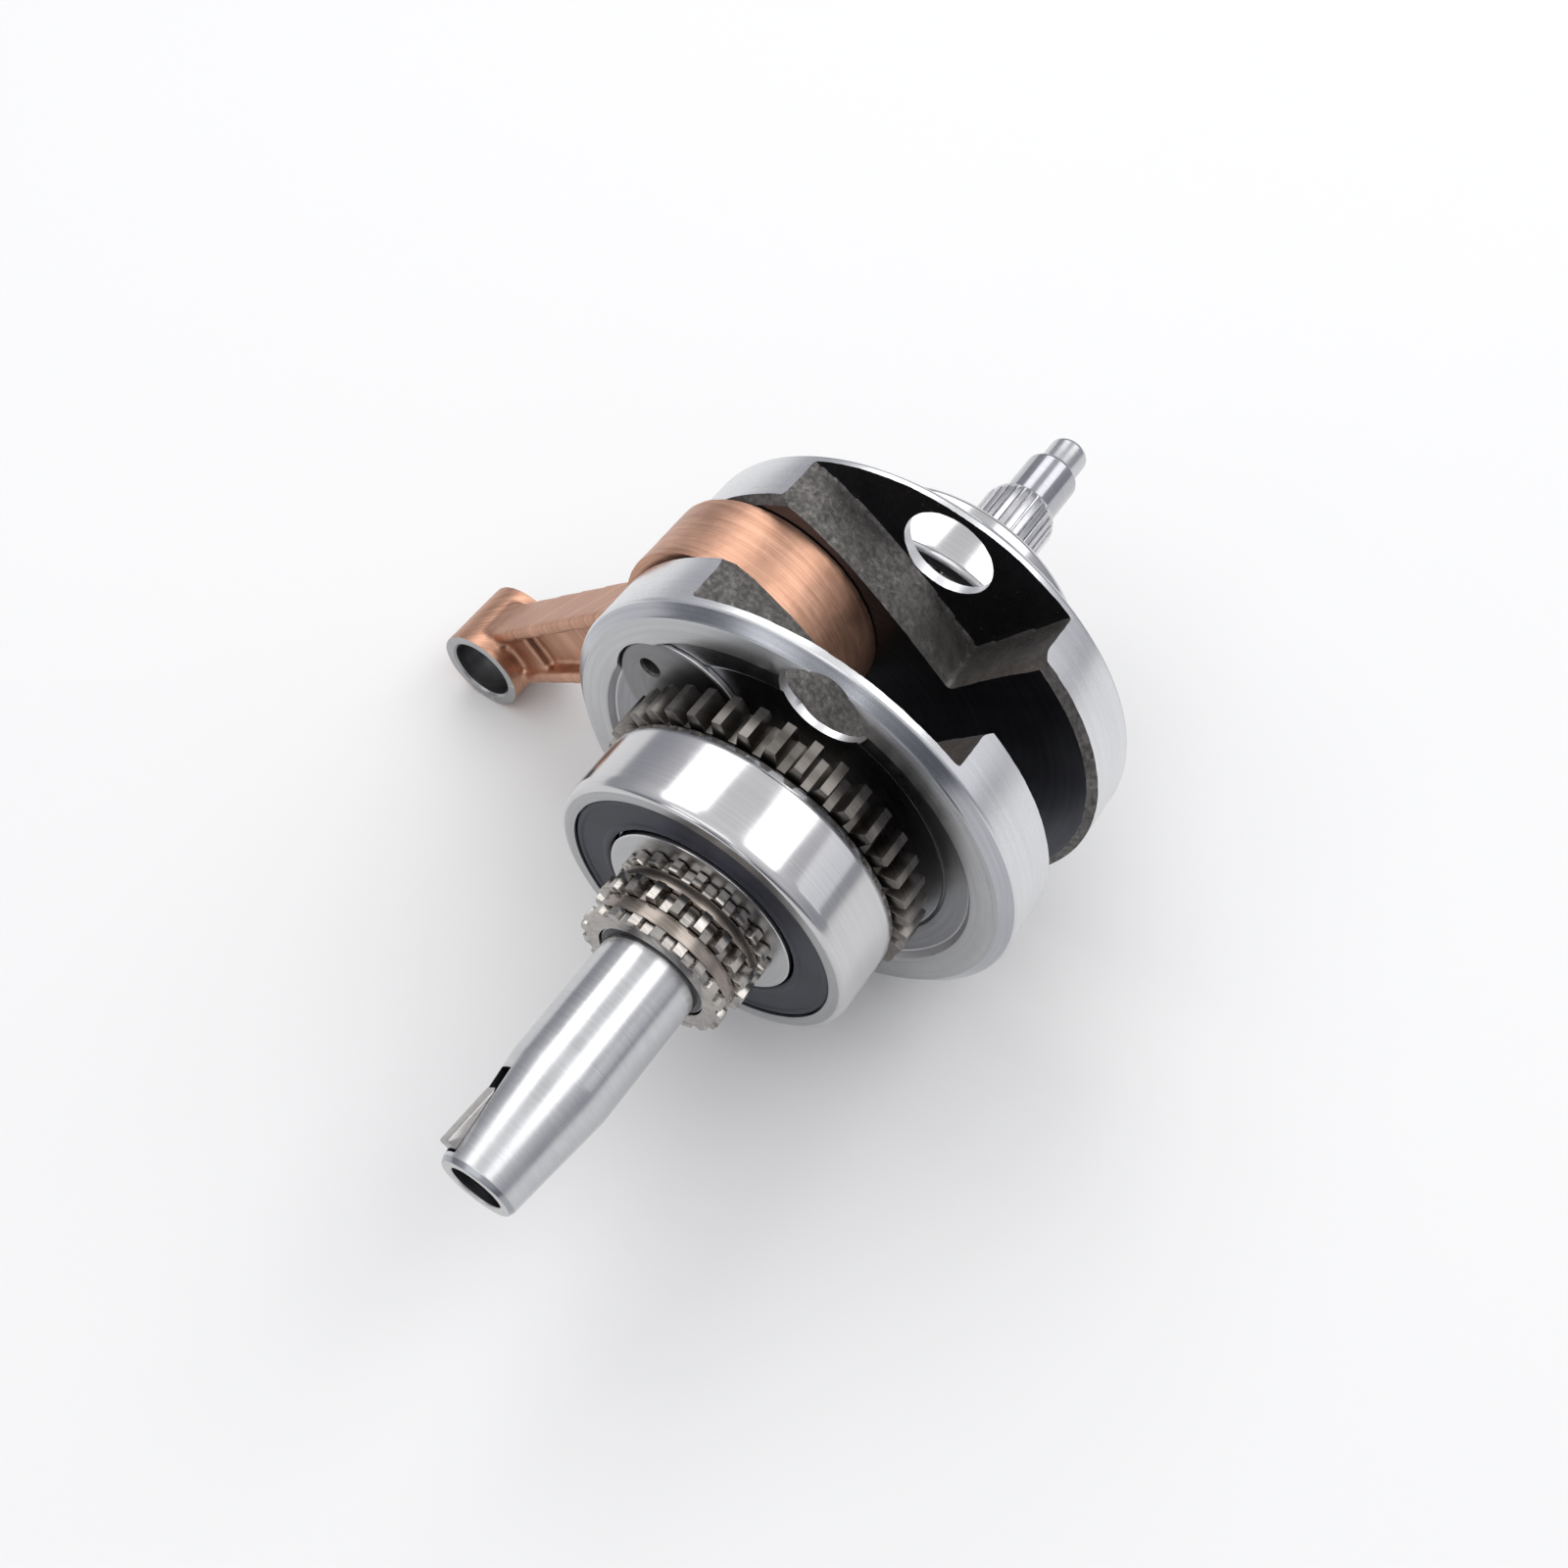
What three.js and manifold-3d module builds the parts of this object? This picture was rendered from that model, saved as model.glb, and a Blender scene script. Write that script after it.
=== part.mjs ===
// A built-up crankshaft of a single-cylinder engine: two forged half cranks pressed on a crankpin, a connecting
// rod on needle rollers, two ball bearings, a balancer gear and a stack of small sprockets.
// Millimetres. The shaft lies along Y with its tapered end towards -Y, resting on its web rims and on the rod's
// small end. Stations along the shaft are counted from the front bearing's front face.
import * as THREE from "three";
import { mergeVertices } from "three/addons/utils/BufferGeometryUtils.js";
import Module from "manifold-3d";

const wasm = await Module();
wasm.setup();

// ---- Driving dimensions ----

const FIT = 0.1; // gap left between pieces that are pressed or pushed together
const STEP = 0.05; // gap left between faces that touch
const THROW_ANGLE = THREE.MathUtils.degToRad(143.5); // from +X towards +Z, where the crankpin stands
const CRANK_THROW = 30;

const WEB = {
  radius: 52.8,
  thickness: 15.7,
  discThickness: 3.8,
  frontFace: 28.7,
  rodGap: 17.5,
  chamferRadial: 2.5,
  chamferAxial: 2,
  recessRadius: 43.7,
  recessFloorRadius: 42.8,
  recessDepth: 1.6,
  barHalfWidth: 27, // the bar that holds the crankpin, at the rim
  barRootHalfWidth: 24, // the same bar where it meets the counterweight
  barEnd: 46, // where the bar reaches its full width
  shoulderInner: -3, // the counterweight's shoulders, along the throw direction
  shoulderRim: -4.8,
  holeRadius: 9.85,
  holeDistance: 41,
  holeAngle: THREE.MathUtils.degToRad(65.2), // each side of the throw direction
};
const REAR_WEB_FRONT = WEB.frontFace + WEB.thickness + WEB.rodGap;
const REAR_WEB_BACK = REAR_WEB_FRONT + WEB.thickness;

const CRANKPIN = { radius: 15.2, inset: 0.6, oilHoleRadius: 2.2, oilHoleOffset: 9, oilHoleDepth: 32 };

const FRONT_BEARING = {
  front: 0,
  outerRadius: 34,
  boreRadius: 14,
  width: 18,
  cornerRadial: 1.05,
  cornerAxial: 2.4,
  outerLandRadius: 27.6,
  sealSeatRadius: 30.1,
  innerLandRadius: 21.3,
  ballCircleRadius: 24,
  ballRadius: 5.6,
  grooveRadius: 5.9,
  ballCount: 8,
  sealDepth: 1.6,
  sealInset: 0.3,
  cageInnerRadius: 22.2,
  cageOuterRadius: 25.9,
  cageBack: 7.1,
  cageFront: -2,
  pocketRadius: 6.05,
};
const REAR_BEARING = {
  ...FRONT_BEARING,
  front: REAR_WEB_BACK + 1.9,
  outerRadius: 31,
  boreRadius: 12.5,
  width: 17,
  cornerAxial: 1.5,
  outerLandRadius: 25.1,
  sealSeatRadius: 27.4,
  innerLandRadius: 18.4,
  ballCircleRadius: 21.75,
  ballRadius: 5.7,
  grooveRadius: 6,
  ballCount: 7,
  cageInnerRadius: 19.9,
  cageOuterRadius: 23.6,
  cageBack: 6.9,
  pocketRadius: 6.15,
};

const FRONT_SHAFT = {
  tip: -67.1,
  tipRadius: 7.63,
  taperSmallRadius: 8.1,
  taperEnd: -66,
  taperLargeRadius: 10.5,
  taperStart: -44.5,
  radius: 10.6,
  sprocketSeatRadius: 12,
  sprocketSeatFront: -15,
  boreRadius: 5.5,
  boreMouthRadius: 5.7,
  boreMouthDepth: 0.3,
  boreDepth: 34,
};
const KEY_ANGLE = THREE.MathUtils.degToRad(-3.5); // from the throw direction
const KEYWAY = { width: 4, front: -65.3, back: -47.6, bottom: 5.9, cutRise: 6 };
const KEY = { front: -64.9, back: -52.2, frontTop: 10.35, backTop: 9.7, bottom: 6.2, frontHeight: 2.4 };

const REAR_SHAFT = {
  shoulderRadius: 17.5,
  journalEnd: REAR_BEARING.front + REAR_BEARING.width + 0.6,
  collarRadius: 11.6,
  collarEnd: 104,
  splineTipRadius: 8.7,
  splineRootRadius: 8.0,
  splineTeeth: 30,
  splineEnd: 126.4,
  journalRadius: 6.5,
  smallJournalEnd: 140.6,
  endRadius: 4.7,
  end: 149.2,
  edge: 0.8,
};

const GEAR = {
  teeth: 37,
  tipRadius: 36,
  rootRadius: 32,
  front: 18.7,
  back: 26.2,
  boreRadius: 14,
  hubRadius: 18.6,
  tipShare: 0.26,
  rootShare: 0.7,
  phase: THREE.MathUtils.degToRad(83),
};

const SPROCKET_TEETH = 20;
const SPROCKET_PHASE = THREE.MathUtils.degToRad(82);
const SPROCKETS = [
  { name: "oil_pump_sprocket", front: -15.7, back: -13.3, tipRadius: 16.5, rootRadius: 15.4 },
  { name: "timing_sprocket", front: -9.9, back: -5.7, tipRadius: 17.4, rootRadius: 15 },
  { name: "rear_drive_sprocket", front: -2.9, back: -0.15, tipRadius: 17.2, rootRadius: 15.3 },
];
const SPACERS = [
  { name: "front_spacer_ring", front: -13.2, back: -10, radius: 15.7 },
  { name: "rear_spacer_ring", front: -5.6, back: -3, radius: 16.2 },
];

const ROD = {
  length: 95.5,
  bigEndRadius: 25,
  bigEndBore: 19.6,
  sideClearance: 0.3,
  smallEndRadius: 10.9,
  smallEndBore: 8,
  smallEndWidth: 19,
  shankWidth: 11.4,
  shankBigHalf: 11.5,
  shankSmallHalf: 7.2,
  pocketDepth: 3.4,
  flange: 3,
};
const ROLLERS = { count: 14, radius: 1.95, length: 12, circleRadius: 17.4, slotGap: 0.25 };
const CAGE = { innerRadius: 15.9, outerRadius: 18.8, length: 15.6 };

const MID_PLANE = REAR_WEB_FRONT - WEB.rodGap / 2;
const BIG_END_WIDTH = WEB.rodGap - 2 * ROD.sideClearance;

// ---- Facets per full turn ----

const SEGMENTS = { web: 60, shaft: 28, bearing: 36, hole: 18, pin: 30, spacer: 28 };

// ---- Materials ----

function metal(colour, roughness, metalness = 1) {
  return new THREE.MeshStandardMaterial({ color: colour, roughness, metalness });
}
const groundSteel = metal(0xb9babd, 0.28);
const bearingSteel = metal(0xc9cacc, 0.18);
const darkSteel = metal(0x4a4743, 0.4);
const copper = metal(0xa8694a, 0.45);
const sealRubber = metal(0x23262f, 0.6, 0);
const cageSteel = metal(0x9a9184, 0.45);

// ---- Solid geometry helpers ----

function toSolid(geometry) {
  const bare = geometry.clone();
  bare.deleteAttribute("normal");
  bare.deleteAttribute("uv");
  const merged = mergeVertices(bare, 1e-4);
  return new wasm.Manifold(
    new wasm.Mesh({
      numProp: 3,
      vertProperties: merged.attributes.position.array,
      triVerts: new Uint32Array(merged.index.array),
    }),
  );
}

function toGeometry(solid) {
  const mesh = solid.getMesh();
  const geometry = new THREE.BufferGeometry();
  geometry.setAttribute("position", new THREE.BufferAttribute(mesh.vertProperties, 3));
  geometry.setIndex(new THREE.BufferAttribute(mesh.triVerts, 1));
  geometry.computeVertexNormals();
  return geometry;
}

// A solid of revolution about the shaft axis. The outline's points are [radius, station], closed on themselves.
function turned(outline, segments) {
  const points = [...outline, outline[0]].map(([radius, station]) => new THREE.Vector2(radius, station));
  const clockwise = THREE.ShapeUtils.isClockWise(points);
  return toSolid(new THREE.LatheGeometry(clockwise ? points.reverse() : points, segments));
}

// A flat outline in the XZ plane, extruded along the shaft from one station to the next.
function slab(shape, front, back, curveSegments = 12) {
  const geometry = new THREE.ExtrudeGeometry(shape, { depth: back - front, bevelEnabled: false, curveSegments });
  return toSolid(geometry.rotateX(Math.PI / 2).translate(0, back, 0));
}

// A round bar parallel to the shaft, centred at (x, z).
function bar(radius, front, back, segments, x = 0, z = 0) {
  const geometry = new THREE.CylinderGeometry(radius, radius, back - front, segments);
  return toSolid(geometry.translate(x, (front + back) / 2, z));
}

function box(sizeX, sizeY, sizeZ, x, y, z) {
  return toSolid(new THREE.BoxGeometry(sizeX, sizeY, sizeZ).translate(x, y, z));
}

function polygon(points) {
  return new THREE.Shape(points.map(([x, z]) => new THREE.Vector2(x, z)));
}

function polar(radius, angle) {
  return [radius * Math.cos(angle), radius * Math.sin(angle)];
}

function part(name, solid, material) {
  const mesh = new THREE.Mesh(toGeometry(solid), material);
  mesh.name = name;
  return mesh;
}

// ---- Half cranks, with the throw along +X ----

// The pockets each side of the crankpin's bar, which leave only the web's thin disc. They run out past the rim.
function webPockets(front, back) {
  const outside = 1.2 * WEB.radius;
  const pockets = [-1, 1].map((side) => {
    const shape = polygon([
      [WEB.shoulderInner, side * WEB.barRootHalfWidth],
      [WEB.barEnd, side * WEB.barHalfWidth],
      [outside, side * WEB.barHalfWidth],
      [outside, side * outside],
      [WEB.shoulderRim, side * outside],
    ]);
    return slab(shape, front, back);
  });
  return pockets[0].add(pockets[1]);
}

function webHoles(front, back) {
  const holes = [-1, 1].map((side) => {
    const [x, z] = polar(WEB.holeDistance, side * WEB.holeAngle);
    return bar(WEB.holeRadius, front, back, SEGMENTS.hole, x, z);
  });
  return holes[0].add(holes[1]);
}

function pinHole() {
  return bar(CRANKPIN.radius + FIT, WEB.frontFace - 1, REAR_WEB_BACK + 1, SEGMENTS.pin, CRANK_THROW);
}

function frontShaftOutline() {
  const s = FRONT_SHAFT;
  const mouth = s.tip + s.boreMouthDepth;
  const boreEnd = s.tip + s.boreDepth;
  return [
    [s.boreMouthRadius, s.tip],
    [s.tipRadius, s.tip],
    [s.taperSmallRadius, s.taperEnd],
    [s.taperLargeRadius, s.taperStart],
    [s.radius, s.taperStart + 1],
    [s.radius, s.sprocketSeatFront],
    [s.sprocketSeatRadius, s.sprocketSeatFront],
    [s.sprocketSeatRadius, -0.1],
    [FRONT_BEARING.boreRadius - FIT, -0.1],
    [FRONT_BEARING.boreRadius - FIT, WEB.frontFace + WEB.recessDepth + 1],
    [0, WEB.frontFace + WEB.recessDepth + 1],
    [0, boreEnd + 2.5],
    [s.boreRadius, boreEnd],
    [s.boreRadius, mouth],
  ];
}

function leftHalfCrank() {
  const front = WEB.frontFace;
  const back = front + WEB.thickness;
  const discBack = front + WEB.discThickness;
  const floor = front + WEB.recessDepth;
  const web = [
    [0, floor],
    [WEB.recessFloorRadius, floor],
    [WEB.recessRadius, front],
    [WEB.radius - WEB.chamferRadial, front],
    [WEB.radius, front + WEB.chamferAxial],
    [WEB.radius, back],
    [0, back],
  ];
  const key = box(
    KEYWAY.cutRise,
    KEYWAY.back - KEYWAY.front,
    KEYWAY.width,
    KEYWAY.bottom + KEYWAY.cutRise / 2,
    (KEYWAY.front + KEYWAY.back) / 2,
    0,
  ).rotate([0, -THREE.MathUtils.radToDeg(KEY_ANGLE), 0]);
  return turned(web, SEGMENTS.web)
    .subtract(webPockets(discBack, back + 1))
    .subtract(webHoles(front - 1, discBack + 1))
    .add(turned(frontShaftOutline(), SEGMENTS.shaft))
    .subtract(key)
    .subtract(pinHole());
}

function splineShape() {
  const s = REAR_SHAFT;
  const pitch = (2 * Math.PI) / s.splineTeeth;
  const points = [];
  for (let tooth = 0; tooth < s.splineTeeth; tooth++) {
    points.push(polar(s.splineTipRadius, (tooth - 0.18) * pitch));
    points.push(polar(s.splineTipRadius, (tooth + 0.18) * pitch));
    points.push(polar(s.splineRootRadius, (tooth + 0.5) * pitch));
  }
  return polygon(points);
}

function rightHalfCrank() {
  const s = REAR_SHAFT;
  const front = REAR_WEB_FRONT;
  const back = REAR_WEB_BACK;
  const discFront = back - WEB.discThickness;
  const floor = back - WEB.recessDepth;
  const web = [
    [0, front],
    [WEB.radius, front],
    [WEB.radius, back - WEB.chamferAxial],
    [WEB.radius - WEB.chamferRadial, back],
    [WEB.recessRadius, back],
    [WEB.recessFloorRadius, floor],
    [0, floor],
  ];
  const shaft = [
    [0, floor - 1],
    [s.shoulderRadius, floor - 1],
    [s.shoulderRadius, REAR_BEARING.front - STEP],
    [REAR_BEARING.boreRadius - FIT, REAR_BEARING.front - STEP],
    [REAR_BEARING.boreRadius - FIT, s.journalEnd],
    [s.collarRadius, s.journalEnd],
    [s.collarRadius, s.collarEnd - s.edge],
    [s.collarRadius - s.edge, s.collarEnd],
    [0, s.collarEnd],
  ];
  const tail = [
    [0, s.splineEnd - 1],
    [s.splineRootRadius, s.splineEnd - 1],
    [s.journalRadius, s.splineEnd + 1],
    [s.journalRadius, s.smallJournalEnd - s.edge],
    [s.journalRadius - s.edge, s.smallJournalEnd],
    [s.endRadius, s.smallJournalEnd],
    [s.endRadius, s.end - s.edge],
    [s.endRadius - s.edge, s.end],
    [0, s.end],
  ];
  return turned(web, SEGMENTS.web)
    .subtract(webPockets(front - 1, discFront))
    .subtract(webHoles(discFront - 1, back + 1))
    .add(turned(shaft, SEGMENTS.shaft))
    .add(slab(splineShape(), s.collarEnd - 1, s.splineEnd))
    .add(turned(tail, SEGMENTS.shaft))
    .subtract(pinHole());
}

function crankpin() {
  const front = WEB.frontFace + CRANKPIN.inset;
  const back = REAR_WEB_BACK - CRANKPIN.inset;
  const edge = 0.6;
  const pin = turned(
    [
      [0, front],
      [CRANKPIN.radius - edge, front],
      [CRANKPIN.radius, front + edge],
      [CRANKPIN.radius, back - edge],
      [CRANKPIN.radius - edge, back],
      [0, back],
    ],
    SEGMENTS.pin,
  );
  const oilHole = bar(CRANKPIN.oilHoleRadius, front - 1, front + CRANKPIN.oilHoleDepth, 12, CRANKPIN.oilHoleOffset);
  return pin.subtract(oilHole).translate([CRANK_THROW, 0, 0]);
}

// A key with a straight top that leans out of the taper towards the shaft's tip.
function woodruffKey() {
  const gap = 0.15;
  const middle = (KEY.front + KEY.back) / 2;
  const side = new THREE.Shape();
  side.moveTo(KEY.frontTop, KEY.front);
  side.lineTo(KEY.backTop, KEY.back);
  side.quadraticCurveTo(KEY.bottom - 0.2, middle, KEY.frontTop - KEY.frontHeight, KEY.front);
  const width = KEYWAY.width - 2 * gap;
  const geometry = new THREE.ExtrudeGeometry(side, { depth: width, bevelEnabled: false, curveSegments: 6 });
  return toSolid(geometry.translate(0, 0, -width / 2).rotateY(-KEY_ANGLE));
}

// ---- Toothed rings ----

// One tooth outline repeated round a circle. The shares are those of the pitch taken at the tip and at the root.
function toothedRing({ teeth, tipRadius, rootRadius, tipShare, rootShare, phase, front, back, boreRadius }) {
  const pitch = (2 * Math.PI) / teeth;
  const points = [];
  for (let tooth = 0; tooth < teeth; tooth++) {
    const middle = phase + tooth * pitch;
    points.push(polar(rootRadius, middle - (rootShare * pitch) / 2));
    points.push(polar(tipRadius, middle - (tipShare * pitch) / 2));
    points.push(polar(tipRadius, middle + (tipShare * pitch) / 2));
    points.push(polar(rootRadius, middle + (rootShare * pitch) / 2));
  }
  const bore = bar(boreRadius + FIT, front - 1, back + 1, SEGMENTS.shaft);
  return slab(polygon(points), front, back).subtract(bore);
}

function balancerGear() {
  const hub = turned(
    [
      [GEAR.boreRadius + FIT, GEAR.back - 1],
      [GEAR.hubRadius, GEAR.back - 1],
      [GEAR.hubRadius, WEB.frontFace + CRANKPIN.inset - STEP],
      [GEAR.boreRadius + FIT, WEB.frontFace + CRANKPIN.inset - STEP],
    ],
    SEGMENTS.shaft,
  );
  return toothedRing(GEAR).add(hub);
}

// ---- Ball bearings, with the front face at station 0 ----

// The raceway's arc, from the front shoulder to the back one. The side is +1 on the outer ring and -1 on the inner.
function grooveArc(b, landRadius, side) {
  const steps = 4;
  const middle = b.width / 2;
  const halfAngle = Math.acos(((landRadius - b.ballCircleRadius) * side) / b.grooveRadius);
  const arc = [];
  for (let i = 0; i <= steps; i++) {
    const angle = halfAngle * ((2 * i) / steps - 1);
    const radius = b.ballCircleRadius + side * b.grooveRadius * Math.cos(angle);
    arc.push([radius, middle + b.grooveRadius * Math.sin(angle)]);
  }
  return arc;
}

function outerRing(b) {
  return turned(
    [
      [b.sealSeatRadius, 0],
      [b.outerRadius - b.cornerRadial, 0],
      [b.outerRadius, b.cornerAxial],
      [b.outerRadius, b.width - b.cornerAxial],
      [b.outerRadius - b.cornerRadial, b.width],
      [b.sealSeatRadius, b.width],
      [b.sealSeatRadius, b.width - b.sealDepth - b.sealInset - STEP],
      [b.outerLandRadius, b.width - b.sealDepth - b.sealInset - STEP],
      ...grooveArc(b, b.outerLandRadius, 1).reverse(),
      [b.outerLandRadius, b.sealDepth + b.sealInset + STEP],
      [b.sealSeatRadius, b.sealDepth + b.sealInset + STEP],
    ],
    SEGMENTS.bearing,
  );
}

function innerRing(b) {
  return turned(
    [
      [b.boreRadius + b.cornerRadial, 0],
      [b.innerLandRadius, 0],
      ...grooveArc(b, b.innerLandRadius, -1),
      [b.innerLandRadius, b.width],
      [b.boreRadius + b.cornerRadial, b.width],
      [b.boreRadius, b.width - b.cornerRadial],
      [b.boreRadius, b.cornerRadial],
    ],
    SEGMENTS.bearing,
  );
}

function seal(b, front) {
  const inner = b.innerLandRadius + 0.3;
  const outer = b.sealSeatRadius - FIT;
  return turned(
    [
      [inner, front],
      [outer, front],
      [outer, front + b.sealDepth],
      [inner, front + b.sealDepth],
    ],
    SEGMENTS.bearing,
  );
}

function ballPlace(b, index) {
  const [x, z] = polar(b.ballCircleRadius, (2 * Math.PI * index) / b.ballCount);
  return [x, b.width / 2, z];
}

function ballCage(b) {
  const middle = b.width / 2;
  let cage = turned(
    [
      [b.cageInnerRadius, middle + b.cageFront],
      [b.cageOuterRadius, middle + b.cageFront],
      [b.cageOuterRadius, middle + b.cageBack],
      [b.cageInnerRadius, middle + b.cageBack],
    ],
    SEGMENTS.bearing,
  );
  for (let i = 0; i < b.ballCount; i++) {
    const pocket = toSolid(new THREE.SphereGeometry(b.pocketRadius, 10, 7));
    cage = cage.subtract(pocket.translate(ballPlace(b, i)));
  }
  return cage;
}

// Adds one bearing's rings, cage and balls to a group, named after the bearing.
function bearingParts(name, b) {
  const pieces = new THREE.Group();
  pieces.add(
    part(`${name}_outer_ring`, outerRing(b), bearingSteel),
    part(`${name}_inner_ring`, innerRing(b), bearingSteel),
    part(`${name}_ball_cage`, ballCage(b), cageSteel),
  );
  for (let i = 0; i < b.ballCount; i++) {
    const ball = toSolid(new THREE.SphereGeometry(b.ballRadius, 10, 7));
    const sphere = part(`${name}_ball_${i + 1}`, ball, bearingSteel);
    sphere.position.set(...ballPlace(b, i));
    pieces.add(sphere);
  }
  return pieces;
}

// ---- Connecting rod, with the big end at the origin and the small end along +X ----

function connectingRod() {
  const r = ROD;
  const halfBig = BIG_END_WIDTH / 2;
  const halfSmall = r.smallEndWidth / 2;
  const halfShank = r.shankWidth / 2;
  const shank = polygon([
    [0, -r.shankBigHalf],
    [r.length, -r.shankSmallHalf],
    [r.length, r.shankSmallHalf],
    [0, r.shankBigHalf],
  ]);
  const pocketStart = r.bigEndRadius + 5;
  const pocketEnd = r.length - r.smallEndRadius - 4.5;
  const halfAt = (x) => r.shankBigHalf + ((r.shankSmallHalf - r.shankBigHalf) * x) / r.length - r.flange;
  const pocket = polygon([
    [pocketStart, -halfAt(pocketStart)],
    [pocketEnd, -halfAt(pocketEnd)],
    [pocketEnd, halfAt(pocketEnd)],
    [pocketStart, halfAt(pocketStart)],
  ]);
  const smallBore = bar(r.smallEndBore, -halfSmall - 1, halfSmall + 1, 28, r.length);
  return slab(shank, -halfShank, halfShank)
    .add(bar(r.bigEndRadius, -halfBig, halfBig, 48))
    .add(bar(r.smallEndRadius, -halfSmall, halfSmall, 32, r.length))
    .subtract(bar(r.bigEndBore, -halfBig - 1, halfBig + 1, 40))
    .subtract(smallBore)
    .subtract(slab(pocket, -halfShank - 1, -halfShank + r.pocketDepth))
    .subtract(slab(pocket, halfShank - r.pocketDepth, halfShank + 1));
}

function rollerCage() {
  const half = CAGE.length / 2;
  let cage = turned(
    [
      [CAGE.innerRadius, -half],
      [CAGE.outerRadius, -half],
      [CAGE.outerRadius, half],
      [CAGE.innerRadius, half],
    ],
    SEGMENTS.pin,
  );
  const slotWidth = 2 * (ROLLERS.radius + ROLLERS.slotGap);
  const slotLength = ROLLERS.length + 2 * ROLLERS.slotGap;
  for (let i = 0; i < ROLLERS.count; i++) {
    const slot = box(8, slotLength, slotWidth, ROLLERS.circleRadius, 0, 0);
    cage = cage.subtract(slot.rotate([0, (360 * i) / ROLLERS.count, 0]));
  }
  return cage;
}

function roller() {
  return toSolid(new THREE.CylinderGeometry(ROLLERS.radius, ROLLERS.radius, ROLLERS.length, 8));
}

// ---- Assembly ----

const crankshaft = new THREE.Group();

const crank = new THREE.Group();
crank.rotation.y = -THROW_ANGLE;
crank.add(
  part("left_half_crank", leftHalfCrank(), groundSteel),
  part("right_half_crank", rightHalfCrank(), groundSteel),
  part("crankpin", crankpin(), darkSteel),
  part("woodruff_key", woodruffKey(), darkSteel),
);
crankshaft.add(crank);

crankshaft.add(part("balancer_gear", balancerGear(), darkSteel));
for (const ring of SPROCKETS) {
  const outline = {
    ...ring,
    teeth: SPROCKET_TEETH,
    tipShare: 0.34,
    rootShare: 0.66,
    phase: SPROCKET_PHASE,
    boreRadius: FRONT_SHAFT.sprocketSeatRadius,
  };
  crankshaft.add(part(ring.name, toothedRing(outline), darkSteel));
}
for (const ring of SPACERS) {
  const bore = FRONT_SHAFT.sprocketSeatRadius + FIT;
  const outline = [
    [bore, ring.front],
    [ring.radius, ring.front],
    [ring.radius, ring.back],
    [bore, ring.back],
  ];
  crankshaft.add(part(ring.name, turned(outline, SEGMENTS.spacer), darkSteel));
}

const frontBearing = bearingParts("front_bearing", FRONT_BEARING);
const rearSealFront = FRONT_BEARING.width - FRONT_BEARING.sealDepth - FRONT_BEARING.sealInset;
frontBearing.add(
  part("front_bearing_front_seal", seal(FRONT_BEARING, FRONT_BEARING.sealInset), sealRubber),
  part("front_bearing_rear_seal", seal(FRONT_BEARING, rearSealFront), sealRubber),
);
crankshaft.add(frontBearing);

const rearBearing = bearingParts("rear_bearing", REAR_BEARING);
rearBearing.position.y = REAR_BEARING.front;
crankshaft.add(rearBearing);

const [pinX, pinZ] = polar(CRANK_THROW, THROW_ANGLE);
const smallEndZ = ROD.smallEndRadius - WEB.radius;
const bigEnd = new THREE.Group();
bigEnd.position.set(pinX, MID_PLANE, pinZ);
const rod = part("connecting_rod", connectingRod(), copper);
rod.rotation.y = Math.PI + Math.asin((smallEndZ - pinZ) / ROD.length);
bigEnd.add(rod, part("big_end_roller_cage", rollerCage(), cageSteel));
for (let i = 0; i < ROLLERS.count; i++) {
  const [x, z] = polar(ROLLERS.circleRadius, (2 * Math.PI * i) / ROLLERS.count);
  const needle = part(`big_end_roller_${i + 1}`, roller(), bearingSteel);
  needle.position.set(x, 0, z);
  bigEnd.add(needle);
}
crankshaft.add(bigEnd);

// The origin goes to the middle of the bounding box, on the surface that the crankshaft lies on.
const extent = new THREE.Box3().setFromObject(crankshaft, true);
const centre = extent.getCenter(new THREE.Vector3());
crankshaft.position.set(-centre.x, -centre.y, -extent.min.z);

export default crankshaft;
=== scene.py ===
import bpy
import bmesh
import math
from types import SimpleNamespace
from mathutils import Matrix, Vector, noise


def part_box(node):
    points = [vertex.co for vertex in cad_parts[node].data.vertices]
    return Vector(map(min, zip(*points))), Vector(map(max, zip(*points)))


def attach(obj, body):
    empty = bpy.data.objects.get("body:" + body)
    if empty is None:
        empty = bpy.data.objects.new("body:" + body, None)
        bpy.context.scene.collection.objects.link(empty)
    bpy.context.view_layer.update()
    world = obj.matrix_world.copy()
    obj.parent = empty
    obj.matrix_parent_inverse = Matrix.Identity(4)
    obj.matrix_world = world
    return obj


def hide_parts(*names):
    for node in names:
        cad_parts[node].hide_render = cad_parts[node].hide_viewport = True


# A built-up crankshaft of a single-cylinder engine, on a pale studio floor.
#
# Lengths are in millimetres. Places along the shaft, which is the y axis, are "stations": station 0 is the
# front bearing's front face, and the tapered end points to -y. Each mesh is built round its own axis, kept in
# metres, and then placed in the part's frame.

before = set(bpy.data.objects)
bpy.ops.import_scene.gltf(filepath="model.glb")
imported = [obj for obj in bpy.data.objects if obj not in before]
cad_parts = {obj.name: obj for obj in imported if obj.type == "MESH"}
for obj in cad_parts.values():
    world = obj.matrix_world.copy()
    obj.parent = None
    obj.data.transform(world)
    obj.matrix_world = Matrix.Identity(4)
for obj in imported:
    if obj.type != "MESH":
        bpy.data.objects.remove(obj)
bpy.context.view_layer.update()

MM = 0.001
THROW = math.radians(143.5)  # where the crankpin stands, from +x towards +z
CRANK_RADIUS = 30.0
ROD_STATION = 53.15
outer_lo, outer_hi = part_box("front_bearing_outer_ring")
AXIS_X = (outer_lo.x + outer_hi.x) / 2
AXIS_Z = (outer_lo.z + outer_hi.z) / 2
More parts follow.
